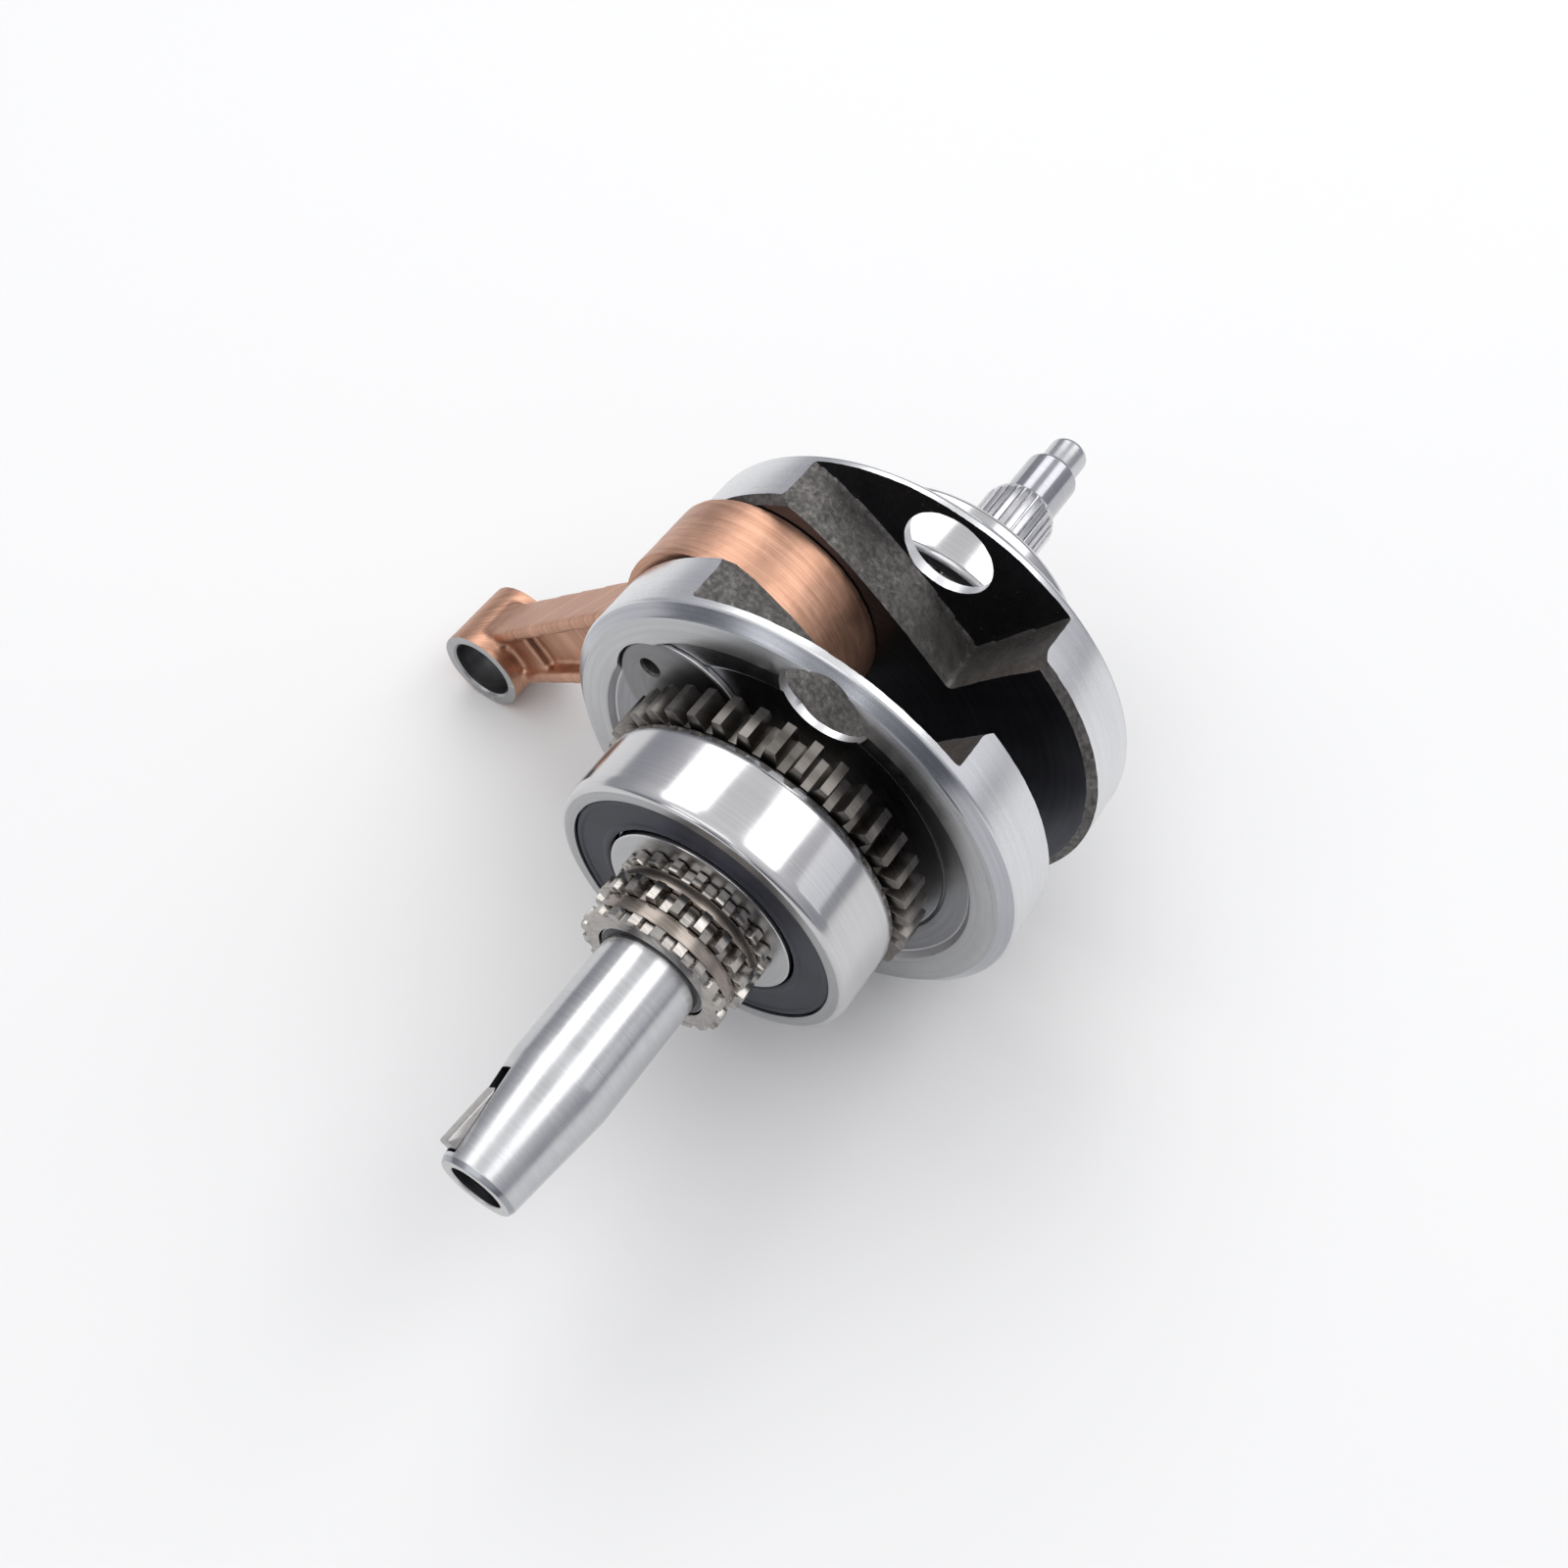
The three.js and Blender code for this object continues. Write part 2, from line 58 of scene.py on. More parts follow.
STATION_0 = outer_lo.y

scene = bpy.context.scene
# Placeholders that keep each face's material index through the boolean cuts.
SLOTS = [bpy.data.materials.new(f"slot_{i}") for i in range(8)]

# ---------------------------------------------------------------- mesh helpers


def mesh_object(name, verts, faces, mats=None, smooth=True, angle=32):
    """A new object from vertices in millimetres. mats gives each face's material index."""
    me = bpy.data.meshes.new(name)
    me.from_pydata([(x * MM, y * MM, z * MM) for x, y, z in verts], [], faces)
    for material in SLOTS:
        me.materials.append(material)
    if mats:
        me.polygons.foreach_set("material_index", mats)
    bm = bmesh.new()
    bm.from_mesh(me)
    bmesh.ops.recalc_face_normals(bm, faces=bm.faces)
    bm.to_mesh(me)
    bm.free()
    o = bpy.data.objects.new(name, me)
    scene.collection.objects.link(o)
    if smooth:
        soften(o, angle)
    return o


def soften(o, angle=32):
    """Smooth shading with sharp edges above an angle in degrees."""
    me = o.data
    me.polygons.foreach_set("use_smooth", [True] * len(me.polygons))
    me.set_sharp_from_angle(angle=math.radians(angle))
    me.update()


def apply(o):
    """Replaces an object's mesh by what its modifiers make of it."""
    dg = bpy.context.evaluated_depsgraph_get()
    dg.update()
    me = bpy.data.meshes.new_from_object(o.evaluated_get(dg))
    o.modifiers.clear()
    o.data = me
    return o


def combine(o, other):
    """Cuts another object out of o, and deletes it. The cut faces take the cutter's material indices."""
    bpy.context.view_layer.update()
    mod = o.modifiers.new("combine", "BOOLEAN")
    mod.object = other
    mod.operation = "DIFFERENCE"
    mod.solver = "EXACT"
    apply(o)
    bpy.data.objects.remove(other)
    return o


def rounded(points, closed, steps=3):
    """Rounds a profile's corners.

    Each point is (r, y, corner radius, material index of the run that follows).
    """
    out = []
    n = len(points)
    for i, (r, y, radius, mat) in enumerate(points):
        if radius <= 0 or (not closed and i in (0, n - 1)):
            out.append((r, y, mat))
            continue
        here = Vector((r, y))
        before = Vector(points[i - 1][:2]) - here
        after = Vector(points[(i + 1) % n][:2]) - here
        reach = min(radius, before.length * 0.45, after.length * 0.45)
        a = here + before.normalized() * reach
        b = here + after.normalized() * reach
        for k in range(steps + 1):
            t = k / steps
            p = a * (1 - t) ** 2 + here * 2 * t * (1 - t) + b * t ** 2
            out.append((p.x, p.y, mat))
    return out


def lathe(name, points, segments, closed=True, steps=3):
    """A solid of revolution about the y axis. A profile that isn't closed starts and ends on the axis."""
    profile = rounded(points, closed, steps)
    verts, faces, mats, rings = [], [], [], []
    for r, y, _ in profile:
        if r < 1e-6:
            rings.append([len(verts)])
            verts.append((0, y, 0))
            continue
        rings.append(list(range(len(verts), len(verts) + segments)))
        for k in range(segments):
            a = 2 * math.pi * k / segments
            verts.append((r * math.cos(a), y, r * math.sin(a)))
    count = len(profile)
    for i in range(count if closed else count - 1):
        a, b = rings[i], rings[(i + 1) % count]
        for k in range(segments):
            j = (k + 1) % segments
            if len(a) == 1:
                face = (a[0], b[k], b[j])
            elif len(b) == 1:
                face = (a[k], b[0], a[j])
            else:
                face = (a[k], b[k], b[j], a[j])
            faces.append(face)
            mats.append(profile[i][2])
    return mesh_object(name, verts, faces, mats)


def plug(name, radius, front, back, segments, mat=0):
    """A plain round bar along y, to cut with or to build up from."""
    profile = [(0, front, 0, mat), (radius, front, 0, mat), (radius, back, 0, mat), (0, back, 0, mat)]
    return lathe(name, profile, segments, closed=False)


def anticlockwise(outline):
    """The same outline, run anticlockwise."""
    area = sum(a[0] * b[1] - b[0] * a[1] for a, b in zip(outline, outline[1:] + outline[:1]))
    return outline if area >= 0 else outline[::-1]


def tube_faces(loop_count, size, closed=False):
    """Quads between neighbouring loops of one size, whose vertices are numbered loop by loop."""
    faces = []
    for i in range(loop_count if closed else loop_count - 1):
        low, high = i * size, (i + 1) % loop_count * size
        for k in range(size):
            j = (k + 1) % size
            faces.append((low + k, low + j, high + j, high + k))
    return faces


def inset(outline, depth):
    """The outline moved inwards by depth. The outline runs anticlockwise."""
    out = []
    n = len(outline)
    for i, (x, z) in enumerate(outline):
        p = Vector((x, z))
        a = (p - Vector(outline[i - 1])).normalized()
        b = (Vector(outline[(i + 1) % n]) - p).normalized()
        na, nb = Vector((-a.y, a.x)), Vector((-b.y, b.x))
        inward = na + nb
        inward = inward / max(inward.length_squared / 2, 0.35)
        p += inward * depth
        out.append((p.x, p.y))
    return out


def prism(name, outline, front, back, bevel=0.0, mat=0, angle=32):
    """An outline in the (x, z) plane extruded along y, with small bevels at both ends."""
    loops = [(front, outline), (back, outline)]
    if bevel:
        tight = inset(outline, bevel)
        lip = bevel * 0.3
        half = inset(outline, lip)
        loops = [
            (front, tight), (front + lip, half), (front + bevel, outline),
            (back - bevel, outline), (back - lip, half), (back, tight),
        ]
    n = len(outline)
    verts = [(x, y, z) for y, loop in loops for x, z in loop]
    faces = [tuple(range(n))[::-1], tuple(range((len(loops) - 1) * n, len(loops) * n))]
    faces += tube_faces(len(loops), n)
    return mesh_object(name, verts, faces, [mat] * len(faces), angle=angle)


def shift(o, x=0.0, y=0.0, z=0.0):
    """Moves an object's vertices, in millimetres."""
    for v in o.data.vertices:
        v.co += Vector((x, y, z)) * MM
    return o


def spin(o, angle):
    """Turns an object's vertices about the y axis: +x goes towards (cos angle, sin angle) in x, z."""
    c, s = math.cos(angle), math.sin(angle)
    for v in o.data.vertices:
        x, z = v.co.x, v.co.z
        v.co.x, v.co.z = x * c - z * s, x * s + z * c
    return o


def polar(radius, angle):
    """The point (x, z) at a radius and an angle from +x towards +z."""
    return radius * math.cos(angle), radius * math.sin(angle)


def join(name, objects):
    """Several objects joined into one mesh without cutting."""
    bm = bmesh.new()
    for o in objects:
        bm.from_mesh(o.data)
    me = bpy.data.meshes.new(name)
    bm.to_mesh(me)
    bm.free()
    for material in SLOTS:
        me.materials.append(material)
    for o in objects:
        bpy.data.objects.remove(o)
    made = bpy.data.objects.new(name, me)
    scene.collection.objects.link(made)
    return made


def forge(o, voxel, rounds, amplitude, mat, floor_mat=None):
    """Turns a rough solid into one skin with rounded corners and the uneven surface of a forging."""
    remesh = o.modifiers.new("remesh", "REMESH")
    remesh.mode = "VOXEL"
    remesh.voxel_size = voxel * MM
    relax = o.modifiers.new("relax", "SMOOTH")
    relax.factor = 0.5
    relax.iterations = rounds
    apply(o)
    me = o.data
    normals = [v.normal.copy() for v in me.vertices]
    for v, n in zip(me.vertices, normals):
        p = v.co / MM
        lump = noise.noise(p * 0.11) * 0.9
        grain = noise.noise(p * 0.45 + Vector((7, 3, 5))) * 0.6
        pit = noise.noise(p * 1.1 + Vector((1, 9, 4))) * 0.5
        v.co += n * (lump + grain + pit) * amplitude * MM
    # Faces that look along the shaft take floor_mat, which the pockets use for their painted shade.
    for face in me.polygons:
        flat = floor_mat is not None and abs(face.normal.y) > 0.8
        face.material_index = floor_mat if flat else mat
    soften(o, 180)
    return o


# ---------------------------------------------------------------- materials


class Nodes:
    """A short way to write a material's nodes."""

    def __init__(self, name):
        self.material = bpy.data.materials.new(name)
        self.material.use_nodes = True
        self.tree = self.material.node_tree
        self.shader = self.tree.nodes["Principled BSDF"]
        self.coords = self.add("ShaderNodeTexCoord").outputs["Object"]
        parts = self.add("ShaderNodeSeparateXYZ", Vector=self.coords)
        self.x, self.y, self.z = parts.outputs
        flat = self.add("ShaderNodeCombineXYZ", X=self.x, Z=self.z)
        self.radius = self.vector("LENGTH", flat.outputs[0], index=1)
        self.around = self.vector("NORMALIZE", flat.outputs[0])

    def add(self, kind, **inputs):
        """A node with its inputs fed by name, with _ for a space."""
        node = self.tree.nodes.new(kind)
        for key, value in inputs.items():
            self.feed(node.inputs[key.replace("_", " ")], value)
        return node

    def feed(self, socket, value):
        """Links another node's output to a socket, or sets a constant on it."""
        if isinstance(value, bpy.types.NodeSocket):
            self.tree.links.new(value, socket)
        else:
            socket.default_value = value

    def math(self, operation, a, b=0.0, c=None):
        """A number worked out from two or three others."""
        node = self.tree.nodes.new("ShaderNodeMath")
        node.operation = operation
        self.feed(node.inputs[0], a)
        self.feed(node.inputs[1], b)
        if c is not None:
            self.feed(node.inputs[2], c)
        return node.outputs[0]

    def vector(self, operation, a, b=None, index=0, scale=None):
        """A vector operation. index 1 is the output of the ones that give a number."""
        node = self.tree.nodes.new("ShaderNodeVectorMath")
        node.operation = operation
        self.feed(node.inputs[0], a)
        if b is not None:
            self.feed(node.inputs[1], b)
        if scale is not None:
            self.feed(node.inputs["Scale"], scale)
        return node.outputs[index]

    def noise(self, vector, scale=1.0, detail=3.0, roughness=0.55, distortion=0.0):
        """Noise about 0 to 1, with scale cells to the metre."""
        node = self.add("ShaderNodeTexNoise", Vector=vector)
        node.inputs["Scale"].default_value = scale
        node.inputs["Detail"].default_value = detail
        node.inputs["Roughness"].default_value = roughness
        node.inputs["Distortion"].default_value = distortion
        return node.outputs["Fac"]

    def ramp(self, value, low, high, out_low=0.0, out_high=1.0):
        """A smooth step from out_low to out_high as value goes from low to high."""
        node = self.add("ShaderNodeMapRange", Value=value)
        node.interpolation_type = "SMOOTHSTEP"
        node.inputs["From Min"].default_value = low
        node.inputs["From Max"].default_value = high
        node.inputs["To Min"].default_value = out_low
        node.inputs["To Max"].default_value = out_high
        return node.outputs["Result"]

    def mix(self, share, a, b):
        """Colour a at share 0, colour b at share 1."""
        node = self.tree.nodes.new("ShaderNodeMix")
        node.data_type = "RGBA"
        self.feed(node.inputs["Factor"], share)
        for socket, value in ((node.inputs[6], a), (node.inputs[7], b)):
            if isinstance(value, tuple):
                value = (*value, 1.0) if len(value) == 3 else value
            self.feed(socket, value)
        return node.outputs[2]

    def bump(self, height, strength, distance, normal=None):
        """Bumps of a height in millimetres, on top of another bump's normal if one is given."""
        node = self.tree.nodes.new("ShaderNodeBump")
        node.inputs["Strength"].default_value = strength
        node.inputs["Distance"].default_value = distance * MM
        self.feed(node.inputs["Height"], height)
        if normal is not None:
            self.feed(node.inputs["Normal"], normal)
        return node.outputs["Normal"]

    def set(self, **inputs):
        """Feeds the shader's own inputs and hands back the finished material."""
        for key, value in inputs.items():
            if isinstance(value, tuple) and len(value) == 3:
                value = (*value, 1.0)
            self.feed(self.shader.inputs[key.replace("_", " ")], value)
        return self.material

    def rings(self, per_mm, wander=2.0):
        """Tool marks that run round the axis: they change with radius and station, and hardly with angle."""
        by_station = self.math("MULTIPLY", self.y, 1.31 * per_mm / MM)
        across = self.math("MULTIPLY_ADD", self.radius, per_mm / MM, by_station)
        along = self.vector("SCALE", self.around, scale=wander)
        shifted = self.add("ShaderNodeCombineXYZ", X=across)
        return self.vector("ADD", shifted.outputs[0], along)


def turned_steel(
    name, light, dark, roughness, per_mm=5.0, bump=0.25, spread=0.08, aniso=0.0, blotch=0.5, wander=2.0,
):
    """Machined steel: fine marks round the axis, faint handling blotches and a slow change of tone.

    per_mm is how many marks a millimetre holds, spread how much the roughness varies with them, blotch how
    strong the handling stains are, and wander how much the marks change on their way round.
    """
    n = Nodes(name)
    fine = n.noise(n.rings(per_mm, wander), 1.0, 3.0, 0.6)
    coarse = n.noise(n.rings(per_mm * 0.16, wander * 0.6), 1.0, 2.0, 0.5)
    stain = n.noise(n.coords, 55.0, 4.0, 0.6)
    speck = n.noise(n.coords, 900.0, 2.0, 0.5)
    tone = n.math("ADD", n.math("MULTIPLY", fine, 0.45), n.math("MULTIPLY", coarse, 0.35))
    tone = n.math("ADD", tone, n.math("MULTIPLY", stain, 0.4 * blotch))
    colour = n.mix(n.ramp(tone, 0.3, 0.72), dark, light)
    rough = n.math("MULTIPLY_ADD", fine, spread, roughness - spread / 2)
    rough = n.math("ADD", rough, n.ramp(stain, 0.35, 0.75, -0.02, 0.1 * blotch))
    rough = n.math("ADD", rough, n.ramp(speck, 0.66, 0.8, 0.0, 0.06))
    normal = n.bump(fine, bump, 0.02)
    normal = n.bump(coarse, bump * 0.5, 0.03, normal)
    return n.set(Base_Color=colour, Metallic=1.0, Roughness=rough, Normal=normal, Anisotropic=aniso)


def forged_steel(name, light, dark):
    """As-forged steel: charcoal scale with a streaky grain, bright rubbed edges and small pits."""
    n = Nodes(name)
    stretched = n.vector("MULTIPLY", n.coords, b=(1.0, 1.0, 0.6))
    grain = n.noise(stretched, 950.0, 4.0, 0.6, 0.3)
    clumps = n.noise(stretched, 260.0, 4.0, 0.6, 0.5)
    broad = n.noise(n.coords, 45.0, 3.0, 0.5)
    pits = n.add("ShaderNodeTexVoronoi", Vector=stretched)
    pits.inputs["Scale"].default_value = 700.0
    pit = n.ramp(pits.outputs["Distance"], 0.0, 0.45)
    edge = n.ramp(n.add("ShaderNodeNewGeometry").outputs["Pointiness"], 0.52, 0.6)
    share = n.math("ADD", n.math("MULTIPLY", grain, 0.6), n.math("MULTIPLY", clumps, 0.4))
    share = n.ramp(share, 0.28, 0.74)
    share = n.math("MULTIPLY", share, n.ramp(broad, 0.3, 0.7, 0.55, 1.0))
    share = n.math("MAXIMUM", share, n.math("MULTIPLY", edge, n.ramp(clumps, 0.35, 0.6)))
    colour = n.mix(share, dark, light)
    glint = n.ramp(grain, 0.62, 0.74)
    colour = n.mix(n.math("MULTIPLY", glint, 0.3), colour, (0.4, 0.38, 0.36))
    rough = n.ramp(grain, 0.3, 0.7, 0.72, 0.46)
    normal = n.bump(grain, 0.7, 0.16)
    normal = n.bump(clumps, 0.6, 0.3, normal)
    normal = n.bump(pit, 0.25, 0.1, normal)
    return n.set(Base_Color=colour, Metallic=0.85, Roughness=rough, Normal=normal)


def copper_plate(name):
    """Copper plating over a forging: fine streaks round the big end, darker where it is thin."""
    n = Nodes(name)
    rings = n.rings(3.2, 3.0)
    streak = n.noise(rings, 1.0, 4.0, 0.62, 0.15)
    wide = n.noise(n.rings(0.5, 2.2), 1.0, 3.0, 0.55, 0.3)
    scratch = n.noise(n.rings(7.0, 9.0), 1.0, 2.0, 0.5, 0.2)
    cloud = n.noise(n.coords, 70.0, 4.0, 0.6)
    fine = n.noise(n.coords, 1500.0, 2.0, 0.5)
    share = n.math("ADD", n.math("MULTIPLY", streak, 0.45), n.math("MULTIPLY", wide, 0.3))
    share = n.math("ADD", share, n.math("MULTIPLY", cloud, 0.25))
    colour = n.mix(n.ramp(share, 0.32, 0.68), (0.37, 0.19, 0.125), (0.7, 0.42, 0.3))
    colour = n.mix(n.ramp(scratch, 0.64, 0.74, 0.0, 0.5), colour, (0.17, 0.085, 0.058))
    rough = n.math("MULTIPLY_ADD", streak, 0.18, 0.28)
    rough = n.math("ADD", rough, n.ramp(cloud, 0.35, 0.7, 0.0, 0.07))
    normal = n.bump(streak, 0.3, 0.04)
    normal = n.bump(scratch, 0.2, 0.03, normal)
    normal = n.bump(fine, 0.12, 0.03, normal)
    return n.set(Base_Color=colour, Metallic=1.0, Roughness=rough, Normal=normal)


def rubber(name, colour, pale):
    """Moulded rubber: a fine grain, faint rings and paler patches."""
    n = Nodes(name)
    grain = n.noise(n.coords, 1800.0, 3.0, 0.6)
    cloud = n.noise(n.coords, 90.0, 4.0, 0.6)
    rings = n.noise(n.rings(2.5, 1.5), 1.0, 2.0, 0.5)
    tint = n.mix(n.ramp(cloud, 0.35, 0.7), colour, pale)
    rough = n.math("MULTIPLY_ADD", cloud, 0.16, 0.36)
    normal = n.bump(grain, 0.18, 0.05)
    normal = n.bump(rings, 0.12, 0.05, normal)
    return n.set(Base_Color=tint, Roughness=rough, Normal=normal, Specular_IOR_Level=0.35, Sheen_Weight=0.03)


def floor_paint(name):
    """Plain, pale, matt paint."""
    return Nodes(name).set(Base_Color=(0.8, 0.8, 0.8), Roughness=1.0, Specular_IOR_Level=0.0)


FACE = turned_steel(
    "turned_face", (0.57, 0.575, 0.585), (0.43, 0.435, 0.445),
    roughness=0.3, per_mm=5.5, bump=0.22, spread=0.1, aniso=0.55,
)
RIM = turned_steel(
    "ground_rim", (0.74, 0.745, 0.76), (0.62, 0.625, 0.64),
    roughness=0.27, per_mm=7.0, bump=0.16, spread=0.08, aniso=0.4,
)
FORGED = forged_steel("forged_scale", (0.22, 0.208, 0.198), (0.085, 0.082, 0.08))
# Painted shade: the pocket floors are near black for the deep shadow inside the pockets.
POCKET_SHADE = forged_steel("pocket_floor_painted_shade", (0.034, 0.033, 0.036), (0.012, 0.012, 0.015))
# Painted shade: the recess floor is darker than the face ring for the shade that the gear and bearing cast
# into it.
RECESS_SHADE = turned_steel(
    "turned_recess_painted_shade", (0.34, 0.345, 0.36), (0.24, 0.243, 0.255),
    roughness=0.3, per_mm=5.0, bump=0.2, spread=0.08, aniso=0.4,
)
# Painted shade: the webs' inner faces, towards the rod, are near black for the shadow in the gap between web
# and rod.
SHADED_INNER = turned_steel(
    "inner_face_painted_shade", (0.12, 0.123, 0.142), (0.075, 0.077, 0.092),
    roughness=0.34, per_mm=5.0, bump=0.18, spread=0.08, aniso=0.4,
)
HOLE = turned_steel(
    "reamed_hole", (0.76, 0.76, 0.77), (0.62, 0.62, 0.64),
    roughness=0.36, per_mm=4.0, bump=0.25, spread=0.08, aniso=0.2,
)
CHAMFER = turned_steel(
    "turned_chamfer", (0.5, 0.51, 0.54), (0.38, 0.39, 0.42),
    roughness=0.2, per_mm=6.0, bump=0.2, spread=0.06, aniso=0.5,
)
SHAFT = turned_steel(
    "ground_shaft", (0.58, 0.585, 0.6), (0.47, 0.475, 0.49),
    roughness=0.2, per_mm=6.0, bump=0.16, spread=0.07, aniso=0.45, blotch=0.8,
)
POLISHED = turned_steel(
    "polished_journal", (0.5, 0.5, 0.53), (0.4, 0.4, 0.43),
    roughness=0.13, per_mm=6.0, bump=0.08, spread=0.04, aniso=0.2,
)
TIP_FACE = turned_steel(
    "tip_face", (0.6, 0.6, 0.6), (0.46, 0.46, 0.465),
    roughness=0.34, per_mm=6.0, bump=0.2, spread=0.1, aniso=0.4,
)
TIP_CHAMFER = turned_steel(
    "tip_chamfer", (0.42, 0.43, 0.46), (0.26, 0.27, 0.3),
    roughness=0.16, per_mm=5.0, bump=0.2, spread=0.06, aniso=0.4,
)
SPLINE_LAND = turned_steel(
    "spline_land", (0.6, 0.6, 0.615), (0.48, 0.48, 0.5),
    roughness=0.22, per_mm=3.0, bump=0.14, spread=0.08, aniso=0.2, blotch=0.8, wander=8.0,
)
SPLINE_GROOVE = turned_steel(
    "spline_groove", (0.58, 0.58, 0.6), (0.43, 0.43, 0.45),
    roughness=0.26, per_mm=3.0, bump=0.2, spread=0.1, aniso=0.3, blotch=0.8, wander=8.0,
)
RACE = turned_steel(
    "bearing_ground_od", (0.62, 0.62, 0.63), (0.53, 0.53, 0.54),
    roughness=0.15, per_mm=8.0, bump=0.1, spread=0.05, aniso=0.35,
)
RACE_FACE = turned_steel(
    "bearing_ground_face", (0.45, 0.455, 0.46), (0.36, 0.362, 0.37),
    roughness=0.3, per_mm=7.0, bump=0.16, spread=0.08, aniso=0.3,
)
PIN_END = turned_steel(
    "crankpin_end", (0.25, 0.25, 0.255), (0.18, 0.18, 0.185),
    roughness=0.36, per_mm=4.0, bump=0.22, spread=0.1, aniso=0.3,
)
INNER_FACE = turned_steel(
    "inner_ring_face", (0.55, 0.555, 0.56), (0.45, 0.452, 0.46),
    roughness=0.3, per_mm=7.0, bump=0.16, spread=0.08, aniso=0.3,
)
# Painted shade: the bore, the keyway and the step are near black for the shadow inside them.
SHAFT_BORE_SHADE = turned_steel(
    "shaft_bore_painted_shade", (0.11, 0.11, 0.118), (0.05, 0.05, 0.056),
    roughness=0.4, per_mm=4.0, bump=0.2, spread=0.1, aniso=0.3,
)
GEAR_STEEL = turned_steel(
    "gear_steel", (0.2, 0.186, 0.172), (0.085, 0.078, 0.071),
    roughness=0.3, per_mm=3.0, bump=0.2, spread=0.12, aniso=0.0, blotch=0.9, wander=9.0,
)
SPROCKET_STEEL = turned_steel(
    "sprocket_steel", (0.46, 0.435, 0.41), (0.17, 0.155, 0.14),
    roughness=0.2, per_mm=3.0, bump=0.2, spread=0.12, aniso=0.0, blotch=0.9, wander=9.0,
)
SPACER_STEEL = turned_steel(
    "spacer_steel", (0.32, 0.28, 0.25), (0.13, 0.108, 0.092),
    roughness=0.22, per_mm=4.0, bump=0.2, spread=0.1, aniso=0.3, blotch=0.9, wander=5.0,
)
KEY_STEEL = turned_steel(
    "key_steel", (0.45, 0.44, 0.43), (0.27, 0.26, 0.25),
    roughness=0.32, per_mm=2.5, bump=0.3, spread=0.12, aniso=0.0, blotch=0.8, wander=9.0,
)
CAGE_STEEL = turned_steel(
    "cage_steel", (0.6, 0.57, 0.52), (0.42, 0.39, 0.35),
    roughness=0.36, per_mm=3.0, bump=0.2, spread=0.1, aniso=0.0, blotch=0.6, wander=6.0,
)
BALL_STEEL = turned_steel(
    "ball_steel", (0.82, 0.82, 0.83), (0.74, 0.74, 0.75),
    roughness=0.08, per_mm=3.0, bump=0.03, spread=0.03, aniso=0.0, blotch=0.2,
)
COPPER = copper_plate("copper_plate")
SEAL = rubber("seal_rubber", (0.009, 0.0105, 0.02), (0.023, 0.026, 0.043))

# ---------------------------------------------------------------- placing pieces


def place(o, materials, node, body, at=(0.0, 0.0), station=0.0, turn=0.0):
    """Puts a piece on an axis parallel to the shaft, hands it its materials and ties it to its body.

    at is where that axis lies, as (x, z) from the shaft's. turn is baked into the vertices.
    """
    while len(o.data.materials) > len(materials):
        o.data.materials.pop()
    for i, m in enumerate(materials):
        o.data.materials[i] = m
    if turn:
        spin(o, turn)
    o.location = (AXIS_X + at[0] * MM, STATION_0 + station * MM, AXIS_Z + at[1] * MM)
    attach(o, body)
    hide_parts(node)
    return o


# ---------------------------------------------------------------- half cranks

WEB_FRONT, WEB_BACK = 28.7, 44.4
REAR_FRONT, REAR_BACK = 61.9, 77.6
DISC_THICKNESS = 3.8  # what is left of a web behind its pockets
DISC_BACK = WEB_FRONT + DISC_THICKNESS
REAR_DISC = REAR_BACK - DISC_THICKNESS
WEB_R = 52.78
EDGE_R = 50.3  # where the chamfer meets the face
RECESS_R = 42.7
HOLE_RADIUS, HOLE_CIRCLE, HOLE_ANGLE = 9.9, 41.0, math.radians(65.2)
PIN_SEAT_RADIUS = 15.42
M_FACE, M_RIM, M_FORGED, M_HOLE, M_CHAMFER, M_POCKET_SHADE, M_RECESS_SHADE, M_INNER_SHADE = range(8)
WEB_MATERIALS = [FACE, RIM, FORGED, HOLE, CHAMFER, POCKET_SHADE, RECESS_SHADE, SHADED_INNER]


def pocket(name, side, floor, mouth):
    """The cutter for one pocket: a drafted block with an uneven, rounded skin.

    floor and mouth are its two stations. Its outline is in (u, v): u runs from the axis through the crankpin,
    and v to the pocket's side. The mouth is a little wider than the floor.
    """
    toward = 1 if mouth > floor else -1
    bar = [(-3.4, 24.6), (3, 25.3), (10, 26.2), (19, 27.1), (31, 27.5), (40, 26.6), (47, 24.8), (64, 20.5)]
    shoulder = [(64, 66), (-6.6, 66), (-5.2, 52), (-4.2, 38)]
    base = bar + shoulder
    wide = [(u - 0.9, v - 0.5) for u, v in bar] + [(64, 66), (-9.2, 66), (-7.6, 52), (-5.6, 38)]
    loops = [(floor, base), (mouth - toward * 2.6, base), (mouth, wide), (mouth + toward * 3, wide)]
    n = len(base)
    last = (len(loops) - 1) * n
    verts = [(u, y, side * v) for y, loop in loops for u, v in loop]
    faces = [tuple(range(n)), tuple(range(last, last + n))] + tube_faces(len(loops), n)
    cutter = mesh_object(name, verts, faces)
    # The pocket's floor faces take the painted shade; its walls take the forged scale.
    return forge(cutter, 0.75, 4, 0.16, M_FORGED, M_POCKET_SHADE)


def web_hole(name, side, front, back):
    """The cutter for a lightening hole."""
    hole = plug(name, HOLE_RADIUS, front - 2, back + 2, 96, M_HOLE)
    u, v = polar(HOLE_CIRCLE, side * HOLE_ANGLE)
    return shift(hole, u, 0, v)


